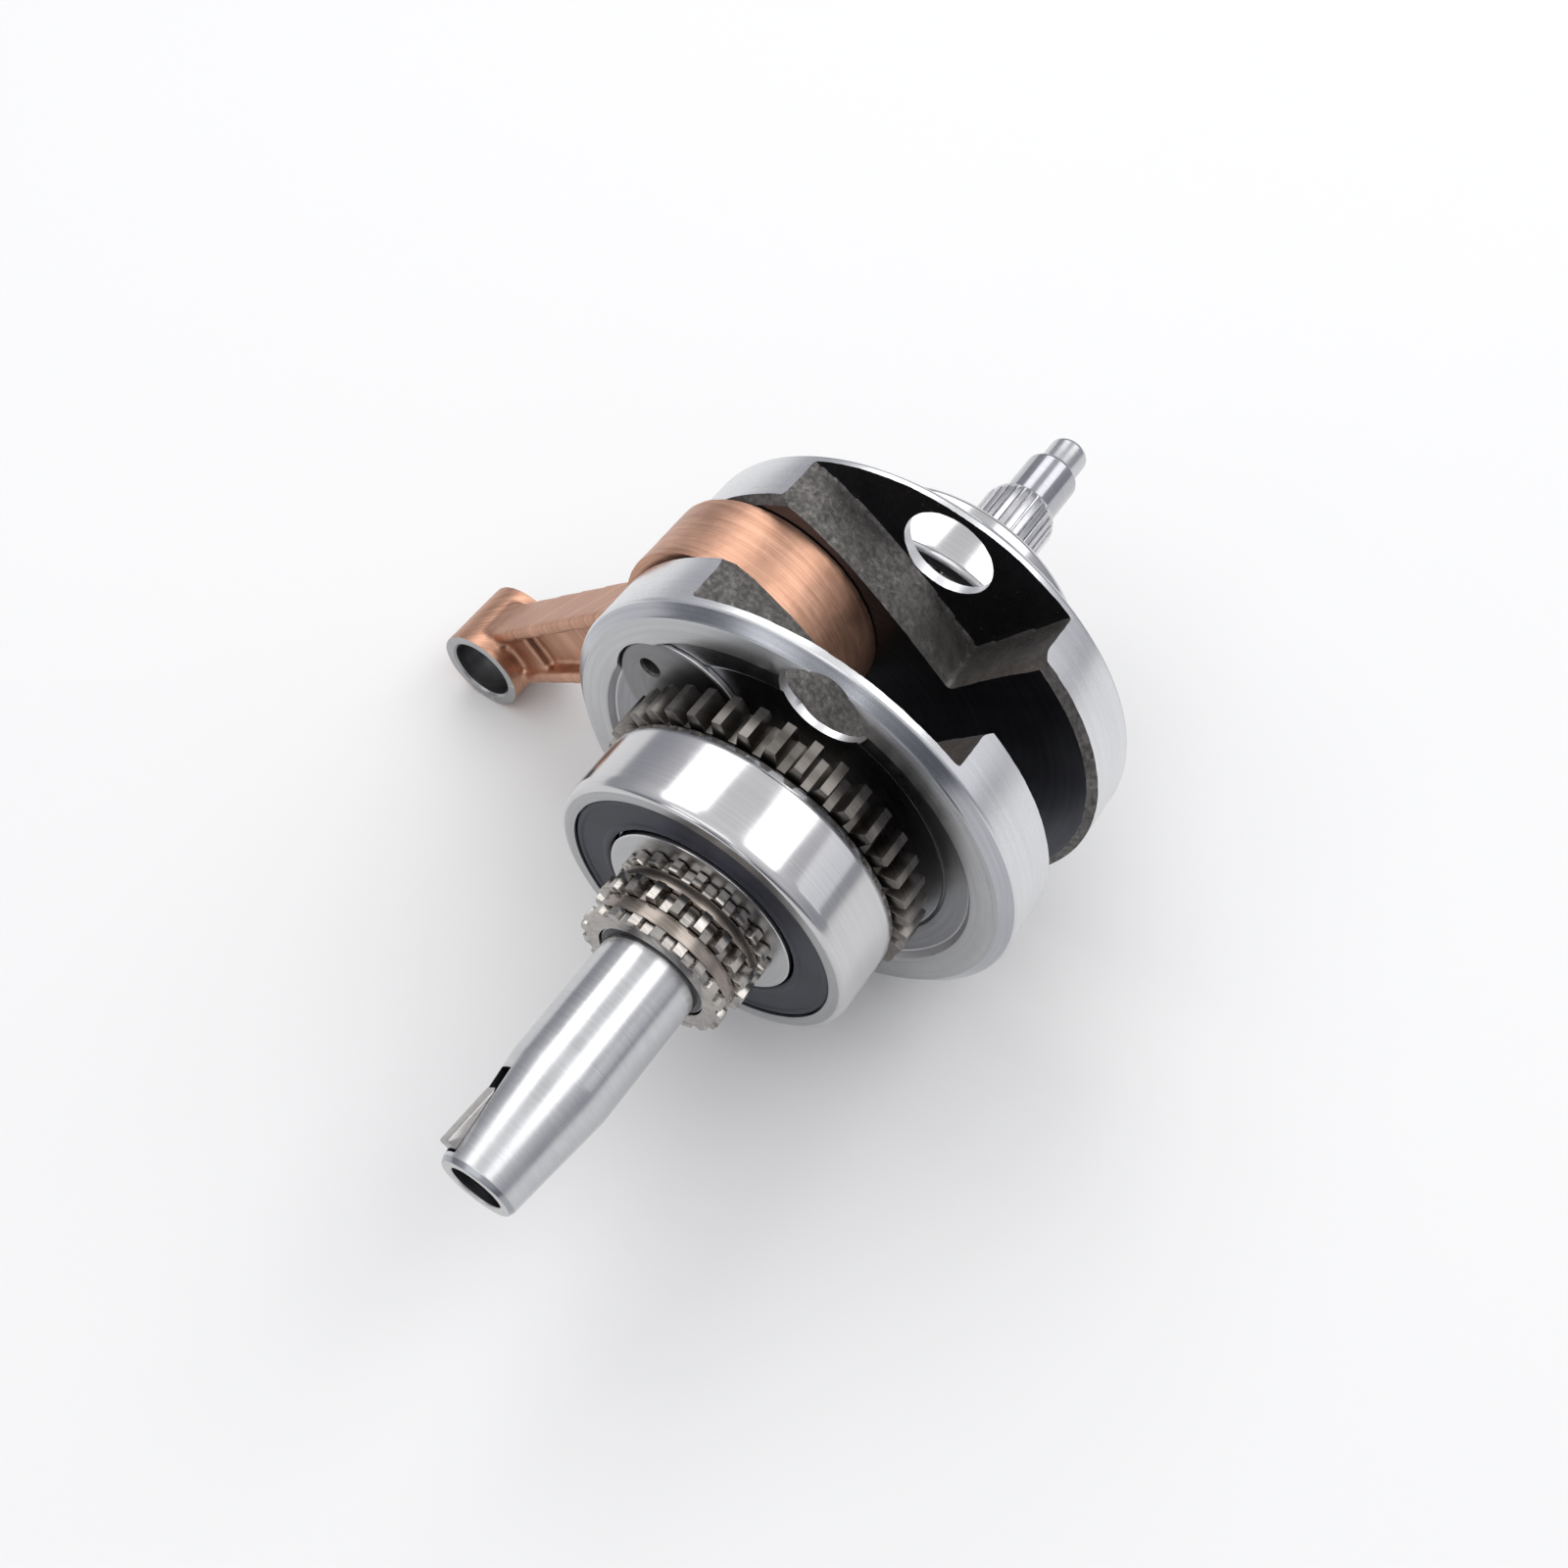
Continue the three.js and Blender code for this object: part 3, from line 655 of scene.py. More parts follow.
def cut_web(web, disc, floor, mouth):
    """Cuts a web's two pockets, its two lightening holes and the crankpin's seat."""
    for side in (-1, 1):
        combine(web, pocket("pocket", side, floor, mouth))
        combine(web, web_hole("hole", side, *disc))
    pin_seat = plug("pin_seat", PIN_SEAT_RADIUS, WEB_FRONT - 3, REAR_BACK + 3, 128, M_HOLE)
    combine(web, shift(pin_seat, CRANK_RADIUS))
    soften(web, 30)
    return web


def forged_rim_cutter(station, toward):
    """Breaks the edge between a counterweight's inner face and its rim, roughly, as the forging left it."""
    ring = lathe(
        "edge",
        [(50.6, station - toward * 3, 0, M_FORGED), (56, station - toward * 3, 0, M_FORGED),
         (56, station + toward * 1.6, 0, M_FORGED), (52.9, station + toward * 1.25, 0, M_FORGED),
         (50.6, station - toward * 0.05, 0, M_FORGED)],
        128,
    )
    return forge(ring, 0.5, 2, 0.12, M_FORGED)


left_web = lathe(
    "left_web",
    [
        # The recess floor carries painted shade.
        (0, 30.9, 0, M_RECESS_SHADE), (36.6, 30.9, 0.3, M_CHAMFER), (37.4, 30.35, 0.2, M_RECESS_SHADE),
        (RECESS_R, 30.3, 0.25, M_HOLE),
        (RECESS_R + 1, WEB_FRONT, 0.25, M_FACE), (EDGE_R - 0.25, WEB_FRONT, 0.06, M_CHAMFER),
        (EDGE_R, WEB_FRONT + 0.3, 0.06, M_CHAMFER),
        (52.55, WEB_FRONT + 2.1, 0.3, M_RIM), (WEB_R, WEB_FRONT + 2.5, 0.3, M_RIM),
        # The inner face, towards the rod, carries painted shade.
        (WEB_R, WEB_BACK, 0.3, M_INNER_SHADE),
        (0, WEB_BACK, 0, M_INNER_SHADE),
    ],
    240, closed=False,
)
combine(left_web, forged_rim_cutter(WEB_BACK, -1))
cut_web(left_web, (WEB_FRONT, DISC_BACK), DISC_BACK, WEB_BACK)
place(left_web, WEB_MATERIALS, "left_half_crank", "crank", turn=THROW)

right_web = lathe(
    "right_web",
    [
        # The inner face, towards the rod, carries painted shade.
        (0, REAR_FRONT, 0, M_INNER_SHADE), (WEB_R, REAR_FRONT, 0.3, M_RIM),
        (WEB_R, REAR_BACK - 2.4, 0.3, M_CHAMFER),
        (EDGE_R, REAR_BACK - 0.1, 0.2, M_FACE), (RECESS_R + 1, REAR_BACK - 0.1, 0.25, M_CHAMFER),
        (RECESS_R, REAR_BACK - 1.6, 0.25, M_FACE), (0, REAR_BACK - 1.6, 0, M_FACE),
    ],
    240, closed=False,
)
combine(right_web, forged_rim_cutter(REAR_FRONT, 1))
cut_web(right_web, (REAR_DISC, REAR_BACK), REAR_DISC, REAR_FRONT)
place(right_web, WEB_MATERIALS, "right_half_crank", "crank", turn=THROW)

# ---------------------------------------------------------------- front shaft, key

KEYWAY_FRONT, KEYWAY_BACK = -65.35, -47.7
KEY_TURN = math.radians(140.0)
# Material indices: 0 ground shaft, 1 tip face, 2 bore, keyway and step, in painted shade, 3 tip chamfer.
front_shaft = lathe(
    "front_shaft",
    [
        (0, -34, 0, 2), (5.52, -34.5, 0.5, 2), (5.52, -66.8, 0.05, 1), (5.75, -67.1, 0.08, 1),
        (7.6, -67.1, 0.1, 3),
        (8.06, -66.02, 0.08, 0), (10.46, -44.6, 0.4, 0),
        (10.58, -43.6, 0.4, 0), (10.58, -15.2, 0.2, 2), (11.9, -15.2, 0.2, 0), (11.9, -0.2, 0.2, 0),
        (13.85, -0.2, 0.3, 0), (13.85, 31.2, 0, 0), (0, 31.2, 0, 0),
    ],
    160, closed=False,
)
keyway = prism("keyway", [(5.95, -2.0), (16, -2.0), (16, 2.0), (5.95, 2.0)], KEYWAY_FRONT, KEYWAY_BACK, mat=2)
combine(front_shaft, spin(keyway, KEY_TURN - THROW))
soften(front_shaft, 30)
place(front_shaft, [SHAFT, TIP_FACE, SHAFT_BORE_SHADE, TIP_CHAMFER], "left_half_crank", "crank",
      turn=THROW)


def key_mesh():
    """A key whose top runs straight while the taper falls away, with a curved foot and broken edges.

    Its profile is in (r, y). At the front it is height deep, and the foot's curve bends through foot_radius.
    """
    top_front, top_back, front, back = 10.3, 9.67, -64.85, -52.25
    height, foot_radius, steps = 2.3, 6.0, 10
    profile = [
        (top_front - 0.5, front), (top_front - 0.12, front + 0.12), (top_front, front + 0.5),
        (top_back, back),
    ]
    for k in range(1, steps):
        t = k / steps
        profile.append((
            top_back * (1 - t) ** 2 + foot_radius * 2 * t * (1 - t) + (top_front - height) * t ** 2,
            back * (1 - t) ** 2 + (front + back) * t * (1 - t) + front * t ** 2,
        ))
    profile.append((top_front - height, front))
    made = prism("woodruff_key", anticlockwise(profile), -1.86, 1.86, bevel=0.22)
    for v in made.data.vertices:
        v.co.y, v.co.z = v.co.z, v.co.y
    made.data.flip_normals()
    return made


key = key_mesh()
key.name = "woodruff_key_visual"
place(key, [KEY_STEEL], "woodruff_key", "crank", turn=KEY_TURN)

# ---------------------------------------------------------------- rear shaft

rear_shaft = lathe(
    "rear_shaft",
    [
        (0, 75.9, 0, 0), (17.45, 75.9, 0.2, 0), (17.45, 79.4, 0.3, 0), (12.35, 79.4, 0.2, 0),
        (12.35, 97.0, 0.3, 0),
        (11.55, 97.0, 0.2, 0), (11.55, 103.2, 0.6, 0), (10.8, 103.95, 0.2, 0), (7.9, 104.0, 0.3, 0),
        (7.9, 126.7, 0.6, 1), (6.5, 127.4, 0.3, 1), (6.5, 139.8, 0.8, 1), (5.7, 140.6, 0.2, 1),
        (4.7, 140.6, 0.3, 2), (4.7, 148.2, 0.8, 2), (3.8, 149.15, 0.4, 2), (0, 149.15, 0, 2),
    ],
    128, closed=False,
)
place(rear_shaft, [SHAFT, POLISHED, SHAFT], "right_half_crank", "crank", turn=THROW)

SPLINES = 30
SPLINE_ROOT, SPLINE_INSIDE = 7.92, 7.0
# One tooth, as (radius, share of the pitch from its middle). The run at index SPLINE_TOP is its land.
SPLINE_TOOTH = (
    (7.98, -0.42), (8.22, -0.37), (8.62, -0.33), (8.68, -0.27),
    (8.68, 0.27), (8.62, 0.33), (8.22, 0.37), (7.98, 0.42),
)
SPLINE_TOP = 3
# Stations along the splines, with how much of a tooth's height stands there.
SPLINE_RISE = ((103.8, 0.0), (103.9, 0.85), (104.2, 1.0), (124.3, 1.0), (125.6, 0.5), (126.4, 0.0))


def spline_mesh():
    """The splined stretch: straight lands between narrow grooves, fading into a cone at the rear."""
    shares = [((i + share) * 2 * math.pi / SPLINES, r) for i in range(SPLINES) for r, share in SPLINE_TOOTH]
    loops = [
        [(polar(SPLINE_ROOT + (r - SPLINE_ROOT) * rise, a), y) for a, r in shares]
        for y, rise in SPLINE_RISE
    ]
    ends = (SPLINE_RISE[-1][0], SPLINE_RISE[0][0])
    loops += [[(polar(SPLINE_INSIDE, a), y) for a, _ in shares] for y in ends]
    n = len(shares)
    verts = [(x, y, z) for loop in loops for (x, z), y in loop]
    faces = tube_faces(len(loops), n, closed=True)
    mats = []
    for i in range(len(faces)):
        inside = i // n >= len(SPLINE_RISE) - 1
        mats.append(0 if inside or i % len(SPLINE_TOOTH) == SPLINE_TOP else 1)
    return mesh_object("splines", verts, faces, mats, angle=25)


place(spline_mesh(), [SPLINE_LAND, SPLINE_GROOVE], "right_half_crank", "crank", turn=THROW)

# ---------------------------------------------------------------- crankpin

PIN_AT = polar(CRANK_RADIUS, THROW)
crankpin = lathe(
    "crankpin_visual",
    [
        (0, 29.35, 0, 1), (14.75, 29.35, 0.15, 1), (15.12, 29.75, 0.2, 0), (15.12, 76.5, 0.2, 0),
        (14.7, 76.95, 0.15, 1), (0, 76.95, 0, 1),
    ],
    128, closed=False,
)
oil_hole = lathe(
    "oil",
    [(0, 26, 0, 2), (2.5, 26, 0, 2), (2.5, 29.5, 0, 2), (2.15, 29.9, 0, 2), (2.15, 60, 0, 2), (0, 60, 0, 2)],
    48, closed=False,
)
combine(crankpin, shift(oil_hole, 9.1))
soften(crankpin, 30)
place(crankpin, [RACE, PIN_END, FORGED], "crankpin", "crank",
      at=PIN_AT, turn=THROW)

# ---------------------------------------------------------------- gear and sprockets


def toothed(name, count, tip, root, tip_share, root_share, phase, front, back, bore, bevel, steps=5):
    """A toothed ring. The shares are of the pitch. The flanks bulge a little, as an involute does."""
    pitch = 2 * math.pi / count
    outline = []
    for i in range(count):
        middle = phase + i * pitch
        flank = []
        for k in range(steps + 1):
            t = k / steps
            share = root_share + (tip_share - root_share) * (t ** 1.35 + t) * 0.5
            flank.append((root + (tip - root) * t, share * pitch / 2))
        for r, half in flank:
            outline.append(polar(r, middle - half))
        for r, half in reversed(flank):
            outline.append(polar(r, middle + half))
    ring = prism(name, outline, front, back, bevel=bevel, angle=25)
    combine(ring, plug("bore", bore, front - 2, back + 2, 96))
    soften(ring, 25)
    return ring


GEAR_BORE = 14.15
gear = toothed(
    "balancer_gear_visual", 37, tip=35.95, root=32.0, tip_share=0.33, root_share=0.68, phase=math.radians(83),
    front=18.75, back=26.2, bore=GEAR_BORE, bevel=0.22,
)
place(gear, [GEAR_STEEL], "balancer_gear", "crank")

gear_hub = lathe(
    "balancer_gear_hub",
    [(GEAR_BORE, 26.0, 0, 0), (18.5, 26.0, 0, 0), (18.5, 29.2, 0.3, 0), (GEAR_BORE, 29.2, 0.2, 0)],
    96,
)
place(gear_hub, [GEAR_STEEL], "balancer_gear", "crank")

RING_BORE = 12.15
SPROCKET_PHASE = math.radians(82)
# name, tip and root radius, tip and root share of the pitch, front, back
SPROCKETS = [
    ("oil_pump_sprocket", 16.45, 15.3, 0.42, 0.62, -15.65, -13.35),
    ("timing_sprocket", 17.38, 15.0, 0.34, 0.62, -9.85, -5.75),
    ("rear_drive_sprocket", 17.18, 15.3, 0.34, 0.62, -2.85, -0.2),
]
for ring_name, tip, root, tip_share, root_share, front, back in SPROCKETS:
    ring = toothed(
        ring_name + "_visual", 20, tip, root, tip_share, root_share, SPROCKET_PHASE, front, back,
        bore=RING_BORE, bevel=0.16,
    )
    place(ring, [SPROCKET_STEEL], ring_name, "crank")

# name, radius, front, back
SPACERS = [("front_spacer_ring", 15.65, -13.2, -10.0), ("rear_spacer_ring", 16.15, -5.6, -3.0)]
for ring_name, radius, front, back in SPACERS:
    ring = lathe(
        ring_name + "_visual",
        [(RING_BORE, front, 0.15, 0), (radius, front, 0.3, 0), (radius, back, 0.3, 0),
         (RING_BORE, back, 0.15, 0)],
        128,
    )
    place(ring, [SPACER_STEEL], ring_name, "crank")

# ---------------------------------------------------------------- bearings

# station of the front face, radii, width, edge width, then the balls: their circle, radius, groove and count.
# cage holds its inner and outer radius and how far it reaches back from the balls' middle.
FRONT_SIZE = SimpleNamespace(
    station=0.0, outer=33.98, bore=14.08, width=18.0, corner=2.2, outer_land=27.6, seat=30.1, inner_land=21.3,
    circle=24.0, ball=5.6, groove=5.9, balls=8, cage=(22.3, 25.8, 7.0),
)
REAR_SIZE = SimpleNamespace(
    station=79.5, outer=30.98, bore=12.58, width=17.0, corner=1.4, outer_land=25.1, seat=27.4,
    inner_land=18.4, circle=21.75, ball=5.7, groove=6.0, balls=7, cage=(20.0, 23.5, 6.8),
)


def groove(b, land, side, half=6):
    """The raceway in a ring's land, from front to back. side is 1 for the outer ring and -1 for the inner."""
    out = []
    reach = math.acos((land - b.circle) * side / b.groove)
    for i in range(2 * half + 1):
        a = reach * (i / half - 1)
        out.append((b.circle + side * b.groove * math.cos(a), b.width / 2 + b.groove * math.sin(a), 0, 0))
    return out


def outer_ring(name, b):
    """An outer ring: rounded outer edges, a step for the seal at both ends, and the raceway."""
    w = b.width
    step = 2.0
    seat = [
        (b.seat, 0, 0.12, 1), (b.outer - 1.23, 0, 0.35, 0), (b.outer - 0.53, 0.55, 0.4, 0),
        (b.outer, b.corner, 0.8, 0), (b.outer, w - b.corner, 0.8, 0), (b.outer - 0.53, w - 0.55, 0.4, 0),
        (b.outer - 1.23, w, 0.35, 1), (b.seat, w, 0.12, 0),
    ]
    inside = [(b.seat, w - step, 0, 0), (b.outer_land, w - step, 0, 0)] + groove(b, b.outer_land, 1)[::-1]
    inside += [(b.outer_land, step, 0, 0), (b.seat, step, 0, 0)]
    return lathe(name, seat + inside, 200, steps=5)


def inner_ring(name, b):
    """An inner ring: chamfered bore edges and the raceway."""
    w = b.width
    mouth, edge, depth = b.bore + 0.82, b.inner_land - 0.1, 0.9
    front = [(mouth, 0, 0.3, 1), (edge, 0, 0.3, 0)]
    back = [(edge, w, 0.3, 1), (mouth, w, 0.3, 0), (b.bore, w - depth, 0.4, 0), (b.bore, depth, 0.4, 0)]
    return lathe(name, front + groove(b, b.inner_land, -1) + back, 160)


def seal(name, flip):
    """A seal of the front bearing, with a raised lip along both edges. flip turns it to face back."""
    points = [
        (21.75, 0.75), (22.3, 0.45), (23.1, 0.5), (23.5, 0.75), (28.3, 0.75), (28.8, 0.5), (29.55, 0.45),
        (29.95, 0.8), (29.95, 1.75), (21.75, 1.75),
    ]
    profile = [(r, FRONT_SIZE.width - y if flip else y, 0.16, 0) for r, y in points]
    return lathe(name, profile[::-1] if flip else profile, 160)


def ball(name, radius, steps=20):
    """One ball, with its poles on the y axis."""
    profile = [(0, -radius, 0, 0)]
    for k in range(1, steps):
        a = math.pi * k / steps
        profile.append((radius * math.sin(a), -radius * math.cos(a), 0, 0))
    profile.append((0, radius, 0, 0))
    return lathe(name, profile, 32, closed=False)


def ball_cage(name, b):
    """A crown cage: a ring with a round pocket for each ball, a little larger than the ball."""
    low, high, reach = b.cage
    front, back = b.width / 2 - 2.0, b.width / 2 + reach
    profile = [(low, front, 0.3, 0), (high, front, 0.3, 0), (high, back, 0.3, 0), (low, back, 0.3, 0)]
    cage = lathe(name, profile, 128)
    for i in range(b.balls):
        x, z = polar(b.circle, 2 * math.pi * i / b.balls)
        combine(cage, shift(ball("pocket", b.ball + 0.4), x, b.width / 2, z))
    soften(cage, 30)
    return cage


def bearing(prefix, b, body_outer, body_balls):
    """A whole ball bearing. Its inner ring rides on the crank."""
    place(outer_ring(prefix + "_outer_visual", b), [RACE, RACE_FACE], prefix + "_outer_ring", body_outer,
          station=b.station)
    place(inner_ring(prefix + "_inner_visual", b), [RACE, INNER_FACE], prefix + "_inner_ring", "crank",
          station=b.station)
    place(ball_cage(prefix + "_cage_visual", b), [CAGE_STEEL], prefix + "_ball_cage", body_balls,
          station=b.station)
    for i in range(b.balls):
        at = polar(b.circle, 2 * math.pi * i / b.balls)
        place(ball(f"{prefix}_ball_visual_{i + 1}", b.ball), [BALL_STEEL], f"{prefix}_ball_{i + 1}",
              body_balls, at=at, station=b.station + b.width / 2)


bearing("front_bearing", FRONT_SIZE, "front_outer", "front_balls")
bearing("rear_bearing", REAR_SIZE, "rear_outer", "rear_balls")
place(seal("front_seal_visual", False), [SEAL], "front_bearing_front_seal", "front_outer")
place(seal("rear_seal_visual", True), [SEAL], "front_bearing_rear_seal", "front_outer")

# ---------------------------------------------------------------- connecting rod

ROD_LENGTH = 95.5
SMALL_END_HEIGHT = 10.9 - 52.8  # from the shaft's axis
ROD_TURN = math.pi - math.asin((SMALL_END_HEIGHT - CRANK_RADIUS * math.sin(THROW)) / ROD_LENGTH)
BIG_OUTER, BIG_BORE, BIG_HALF = 24.85, 19.6, 8.45
SMALL_OUTER, SMALL_BORE, SMALL_HALF = 10.75, 8.0, 9.45
RAIL_HALF = 5.9
# A turn that keeps a cutter's own edges off the corners of the bore it meets.
OFF_SEAM = math.radians(0.8)


def rod_shank():
    """The I-beam's web, its two rails, the flares where they meet the ends, and the fillets in between."""
    neck, tip = ROD_LENGTH - 6, ROD_LENGTH - 4
    pieces = [prism("plate", [(14, -11.5), (ROD_LENGTH, -7), (ROD_LENGTH, 7), (14, 11.5)], -2.1, 2.1)]
    for side in (-1, 1):
        corners = [(12, side * 8.2), (12, side * 11.9), (tip, side * 7.5), (tip, side * 4.3)]
        pieces.append(prism("rail", corners if side > 0 else corners[::-1], -RAIL_HALF, RAIL_HALF))
        # first and last are where a flare is widest and where it ends
        for first, last, edge, grow in ((18, 34, 11.0, 5.5), (neck, ROD_LENGTH - 22, 6.2, 2.6)):
            flare = [(first, side * edge), (first, side * (edge + grow)), (last, side * edge)]
            pieces.append(prism("flare", anticlockwise(flare), -5.4, 5.4))
    pieces.append(prism("root", [(20, -11), (33, -9.5), (33, 9.5), (20, 11)], -4.2, 4.2))
    start = ROD_LENGTH - 19
    pieces.append(prism("neck", [(start, -6), (neck, -6), (neck, 6), (start, 6)], -4.4, 4.4))
    return pieces


def face_off(rod, radius, half, x, mat):
    """Machines both side faces of one of the rod's ends."""
    for front, back in ((-20, -half), (half, 20)):
        slab = spin(plug("side", radius, front, back, 64, mat), OFF_SEAM)
        combine(rod, shift(slab, x))


def build_rod():
    """The rod along +x from the big end at the origin, about its own middle plane."""
    big = plug("big", BIG_OUTER, -9.3, 9.3, 96)
    small = shift(plug("small", SMALL_OUTER, -10.4, 10.4, 64), ROD_LENGTH)
    rod = join("connecting_rod_visual", [big, small] + rod_shank())
    forge(rod, 0.55, 9, 0.05, 0)
    combine(rod, plug("bore", BIG_BORE, -30, 30, 128, 3))
    face_off(rod, 60, BIG_HALF, 0, 1)
    face_off(rod, 16, SMALL_HALF, ROD_LENGTH, 2)
    mouth, ground = SMALL_BORE + 0.55, SMALL_HALF - 0.5
    small_bore = lathe(
        "bore",
        [(0, -30, 0, 2), (30, -30, 0, 2), (mouth, -9.5, 0, 2), (SMALL_BORE, -ground, 0, 3),
         (SMALL_BORE, ground, 0, 2), (mouth, 9.5, 0, 2), (30, 30, 0, 2), (0, 30, 0, 2)],
        96, closed=False,
    )
    combine(rod, shift(small_bore, ROD_LENGTH))
    soften(rod, 35)
    return rod


rod = build_rod()
place(rod, [COPPER, COPPER, RACE_FACE, PIN_END], "connecting_rod", "rod",
      at=PIN_AT, station=ROD_STATION, turn=ROD_TURN)

# ---------------------------------------------------------------- big-end rollers

ROLLERS = 14
ROLLER_CIRCLE, ROLLER_RADIUS, ROLLER_HALF = 17.4, 1.93, 6.0
CAGE_INSIDE, CAGE_OUTSIDE, CAGE_HALF = 16.0, 18.7, 7.7
WINDOW_INSIDE, WINDOW_OUTSIDE, WINDOW_HALF_WIDTH, WINDOW_HALF_LENGTH = 14, 20, 2.15, 6.2
roller_cage = lathe(
    "roller_cage_visual",
    [(CAGE_INSIDE, -CAGE_HALF, 0.3, 0), (CAGE_OUTSIDE, -CAGE_HALF, 0.3, 0), (CAGE_OUTSIDE, CAGE_HALF, 0.3, 0),
     (CAGE_INSIDE, CAGE_HALF, 0.3, 0)],
    112,
)
WINDOW = [
    (WINDOW_INSIDE, -WINDOW_HALF_WIDTH), (WINDOW_OUTSIDE, -WINDOW_HALF_WIDTH),
    (WINDOW_OUTSIDE, WINDOW_HALF_WIDTH), (WINDOW_INSIDE, WINDOW_HALF_WIDTH),
]
for i in range(ROLLERS):
    window = prism("window", WINDOW, -WINDOW_HALF_LENGTH, WINDOW_HALF_LENGTH)
    combine(roller_cage, spin(window, 2 * math.pi * i / ROLLERS))
soften(roller_cage, 30)
place(roller_cage, [CAGE_STEEL], "big_end_roller_cage", "roller_set",
      at=PIN_AT, station=ROD_STATION)
for i in range(ROLLERS):
    roller = lathe(
        f"roller_visual_{i + 1}",
        [(0, -ROLLER_HALF, 0, 0), (ROLLER_RADIUS, -ROLLER_HALF, 0.35, 0),
         (ROLLER_RADIUS, ROLLER_HALF, 0.35, 0), (0, ROLLER_HALF, 0, 0)],
        24, closed=False,
    )
    x, z = polar(ROLLER_CIRCLE, 2 * math.pi * i / ROLLERS)
    place(roller, [BALL_STEEL], f"big_end_roller_{i + 1}", "roller_set",
          at=(PIN_AT[0] + x, PIN_AT[1] + z), station=ROD_STATION)

# ---------------------------------------------------------------- studio

FLOOR_HALF = 4000
floor_corners = [(x * FLOOR_HALF, y * FLOOR_HALF, 0) for x, y in ((-1, -1), (1, -1), (1, 1), (-1, 1))]
floor = mesh_object("studio_floor", floor_corners, [(0, 1, 2, 3)], smooth=False)
floor.location = (0, 0, -0.0002)
floor.data.materials.clear()
floor.data.materials.append(floor_paint("studio_floor_paint"))

TARGET = Vector((0.0, 0.0, 0.05))


def softbox(name, direction, distance, size, radiance, long_axis):
    """A lamp that faces the crankshaft from a distance in metres, with its height along long_axis.

    radiance is what a mirror would show of it.
    """
    data = bpy.data.lights.new(name, "AREA")
    data.shape = "RECTANGLE"
    data.size, data.size_y = size
    data.energy = radiance * math.pi * size[0] * size[1]
    o = bpy.data.objects.new(name, data)
    scene.collection.objects.link(o)
    back = Vector(direction).normalized()
    up = (Vector(long_axis) - back * back.dot(Vector(long_axis))).normalized()
    o.location = TARGET + back * distance
    o.rotation_euler = Matrix((up.cross(back), up, back)).transposed().to_euler()
    return o


def overhead(lean):
    """A direction that leans from the vertical towards +x by lean degrees, and a little towards +y."""
    a = math.radians(lean)
    return math.sin(a), 0.4, math.cos(a)


softbox("softbox_left", overhead(-31), 1.3, (0.66, 1.5), 1.75, (0, 1, 0))
softbox("softbox_right", overhead(29), 1.3, (0.6, 1.5), 1.75, (0, 1, 0))
softbox("window_left", (-0.41, -0.88, 0.26), 1.6, (0.42, 0.5), 1.6, (0, 0, 1))
softbox("window_right", (0.08, -0.96, 0.26), 1.6, (0.16, 0.5), 1.4, (0, 0, 1))
softbox("window_side", (0.85, 0.4, 0.33), 1.8, (0.9, 0.7), 0.5, (0, 0, 1))
softbox("ceiling_front", (-0.25, -0.6, 0.95), 1.8, (1.4, 1.0), 0.7, (0, 1, 0))

world = bpy.data.worlds.new("studio")
scene.world = world
world.use_nodes = True
wt = world.node_tree
bg = wt.nodes["Background"]
coord = wt.nodes.new("ShaderNodeTexCoord")
sep = wt.nodes.new("ShaderNodeSeparateXYZ")
wt.links.new(coord.outputs["Generated"], sep.inputs[0])
ramp = wt.nodes.new("ShaderNodeValToRGB")
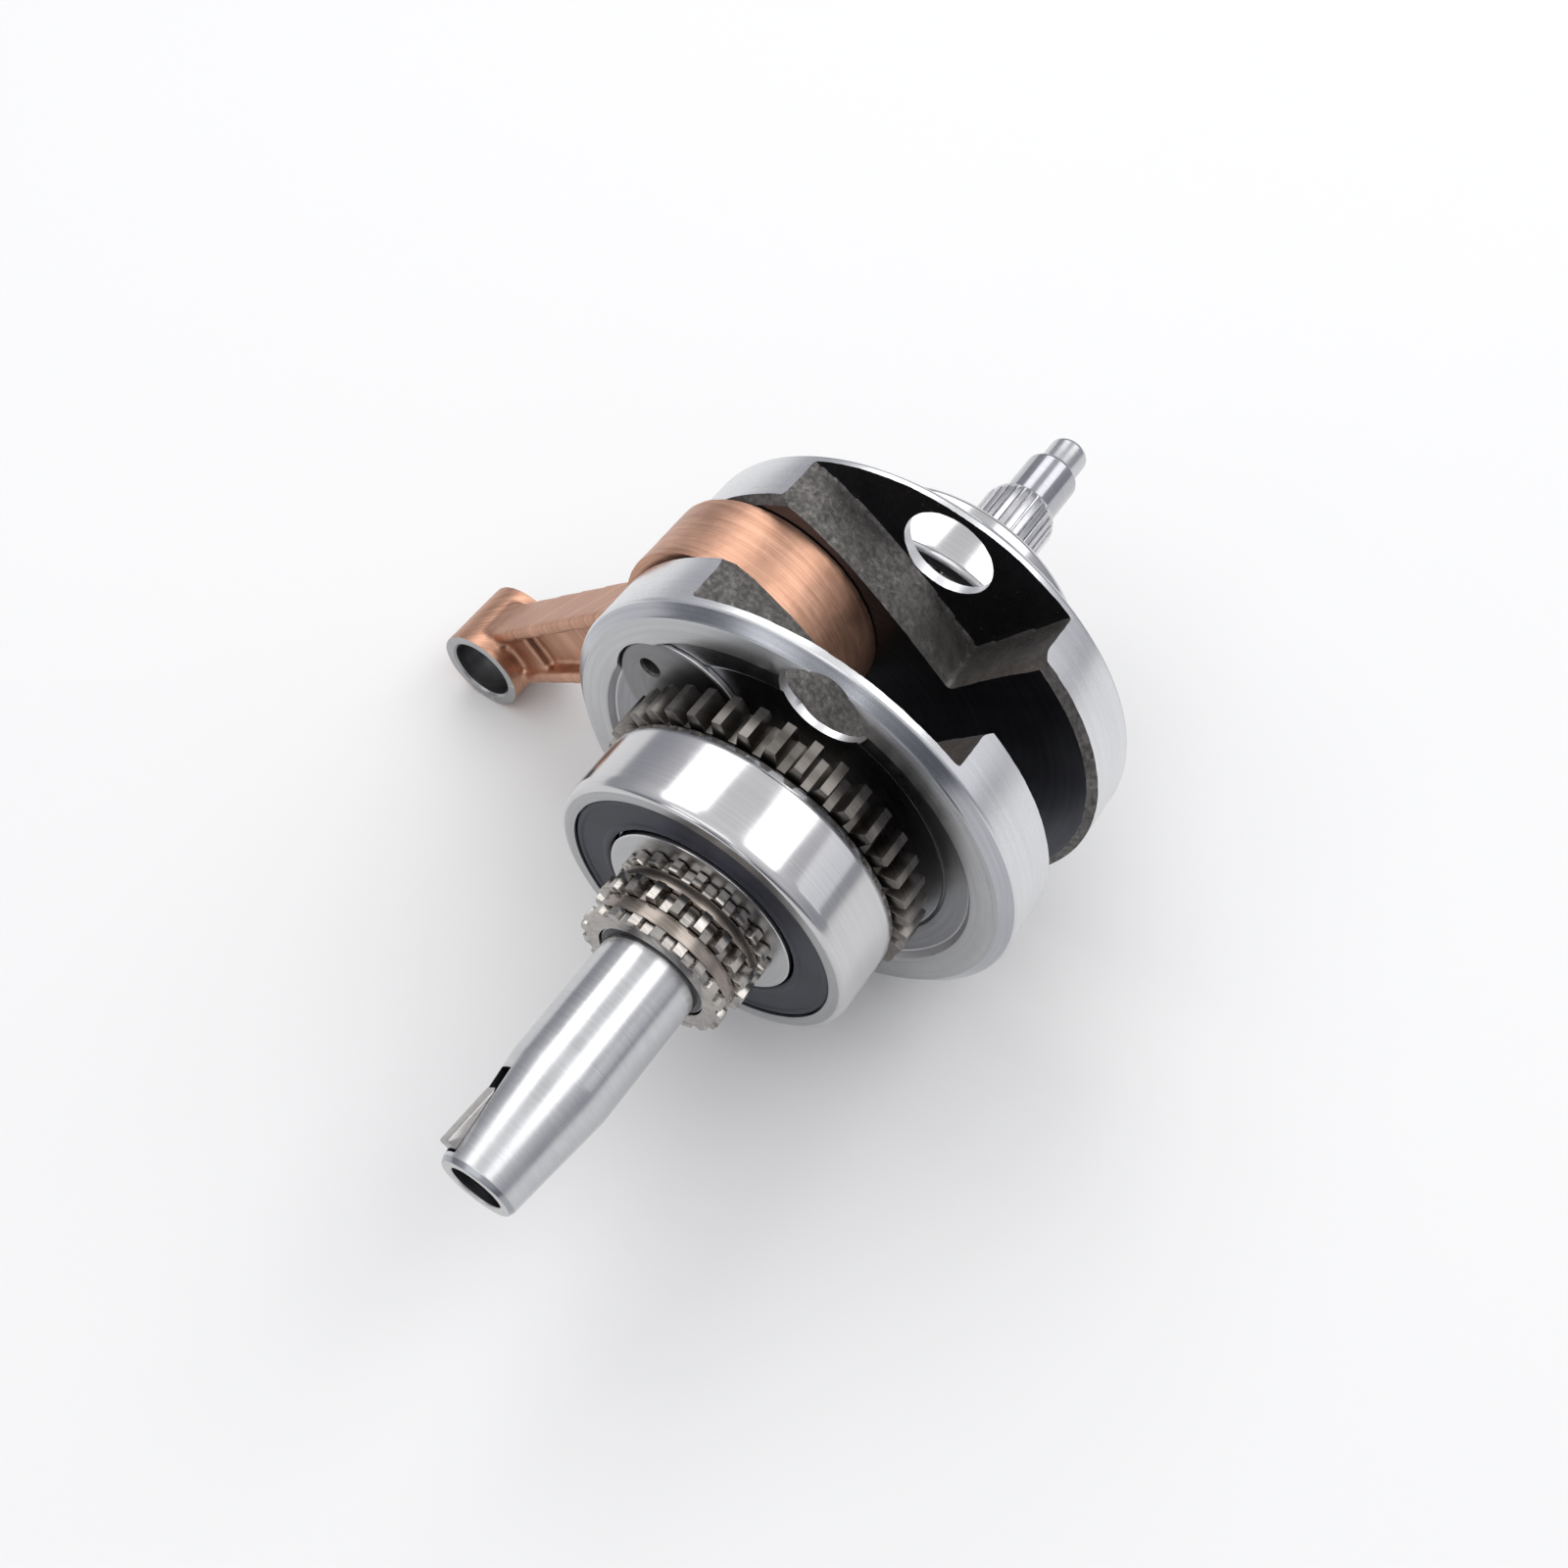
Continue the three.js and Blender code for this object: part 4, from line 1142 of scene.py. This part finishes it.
# Height share (0 straight down, 0.5 the horizon, 1 straight up) and the room's colour there.
stops = [
    (0.0, (0.9, 0.9, 0.91)), (0.5, (0.42, 0.425, 0.45)), (0.57, (0.4, 0.405, 0.45)),
    (0.66, (0.46, 0.465, 0.5)), (0.75, (0.62, 0.62, 0.645)), (0.88, (0.82, 0.82, 0.83)),
    (1.0, (0.92, 0.92, 0.92)),
]
while len(ramp.color_ramp.elements) < len(stops):
    ramp.color_ramp.elements.new(0.5)
for element, (position, colour) in zip(ramp.color_ramp.elements, stops):
    element.position = position
    element.color = (*colour, 1)
half = wt.nodes.new("ShaderNodeMath")
half.operation = "MULTIPLY_ADD"
half.inputs[1].default_value = 0.5
half.inputs[2].default_value = 0.5
wt.links.new(sep.outputs["Z"], half.inputs[0])
wt.links.new(half.outputs[0], ramp.inputs["Fac"])
# The room is darker low down in front.
front = wt.nodes.new("ShaderNodeMapRange")
front.interpolation_type = "SMOOTHSTEP"
low = wt.nodes.new("ShaderNodeMapRange")
low.interpolation_type = "SMOOTHSTEP"
for node, axis, start, end in ((front, "Y", -0.3, -0.8), (low, "Z", 0.42, 0.1)):
    wt.links.new(sep.outputs[axis], node.inputs["Value"])
    node.inputs["From Min"].default_value = start
    node.inputs["From Max"].default_value = end
shade = wt.nodes.new("ShaderNodeMath")
shade.operation = "MULTIPLY"
wt.links.new(front.outputs["Result"], shade.inputs[0])
wt.links.new(low.outputs["Result"], shade.inputs[1])
room = wt.nodes.new("ShaderNodeMix")
room.data_type = "RGBA"
wt.links.new(shade.outputs[0], room.inputs["Factor"])
wt.links.new(ramp.outputs["Color"], room.inputs[6])
room.inputs[7].default_value = (0.15, 0.155, 0.18, 1.0)
wt.links.new(room.outputs[2], bg.inputs["Color"])
bg.inputs["Strength"].default_value = 1.0

CAMERA_LENS = 39.41325
CAMERA_STATION, CAMERA_RIGHT, CAMERA_UP = -127.0, 106.0, 289.7
CAMERA_LOOKS = Vector((-0.3125, 0.4619, -0.8300))

camera_data = bpy.data.cameras.new("camera")
camera_data.sensor_width = 36.0
camera_data.lens = CAMERA_LENS
camera_data.clip_start, camera_data.clip_end = 0.01, 20.0
camera = bpy.data.objects.new("camera", camera_data)
scene.collection.objects.link(camera)
camera.location = (AXIS_X + CAMERA_RIGHT * MM, STATION_0 + CAMERA_STATION * MM, AXIS_Z + CAMERA_UP * MM)
camera.rotation_euler = CAMERA_LOOKS.to_track_quat("-Z", "Y").to_euler()
scene.camera = camera

scene.view_settings.view_transform = "Standard"
scene.view_settings.exposure = 0.0
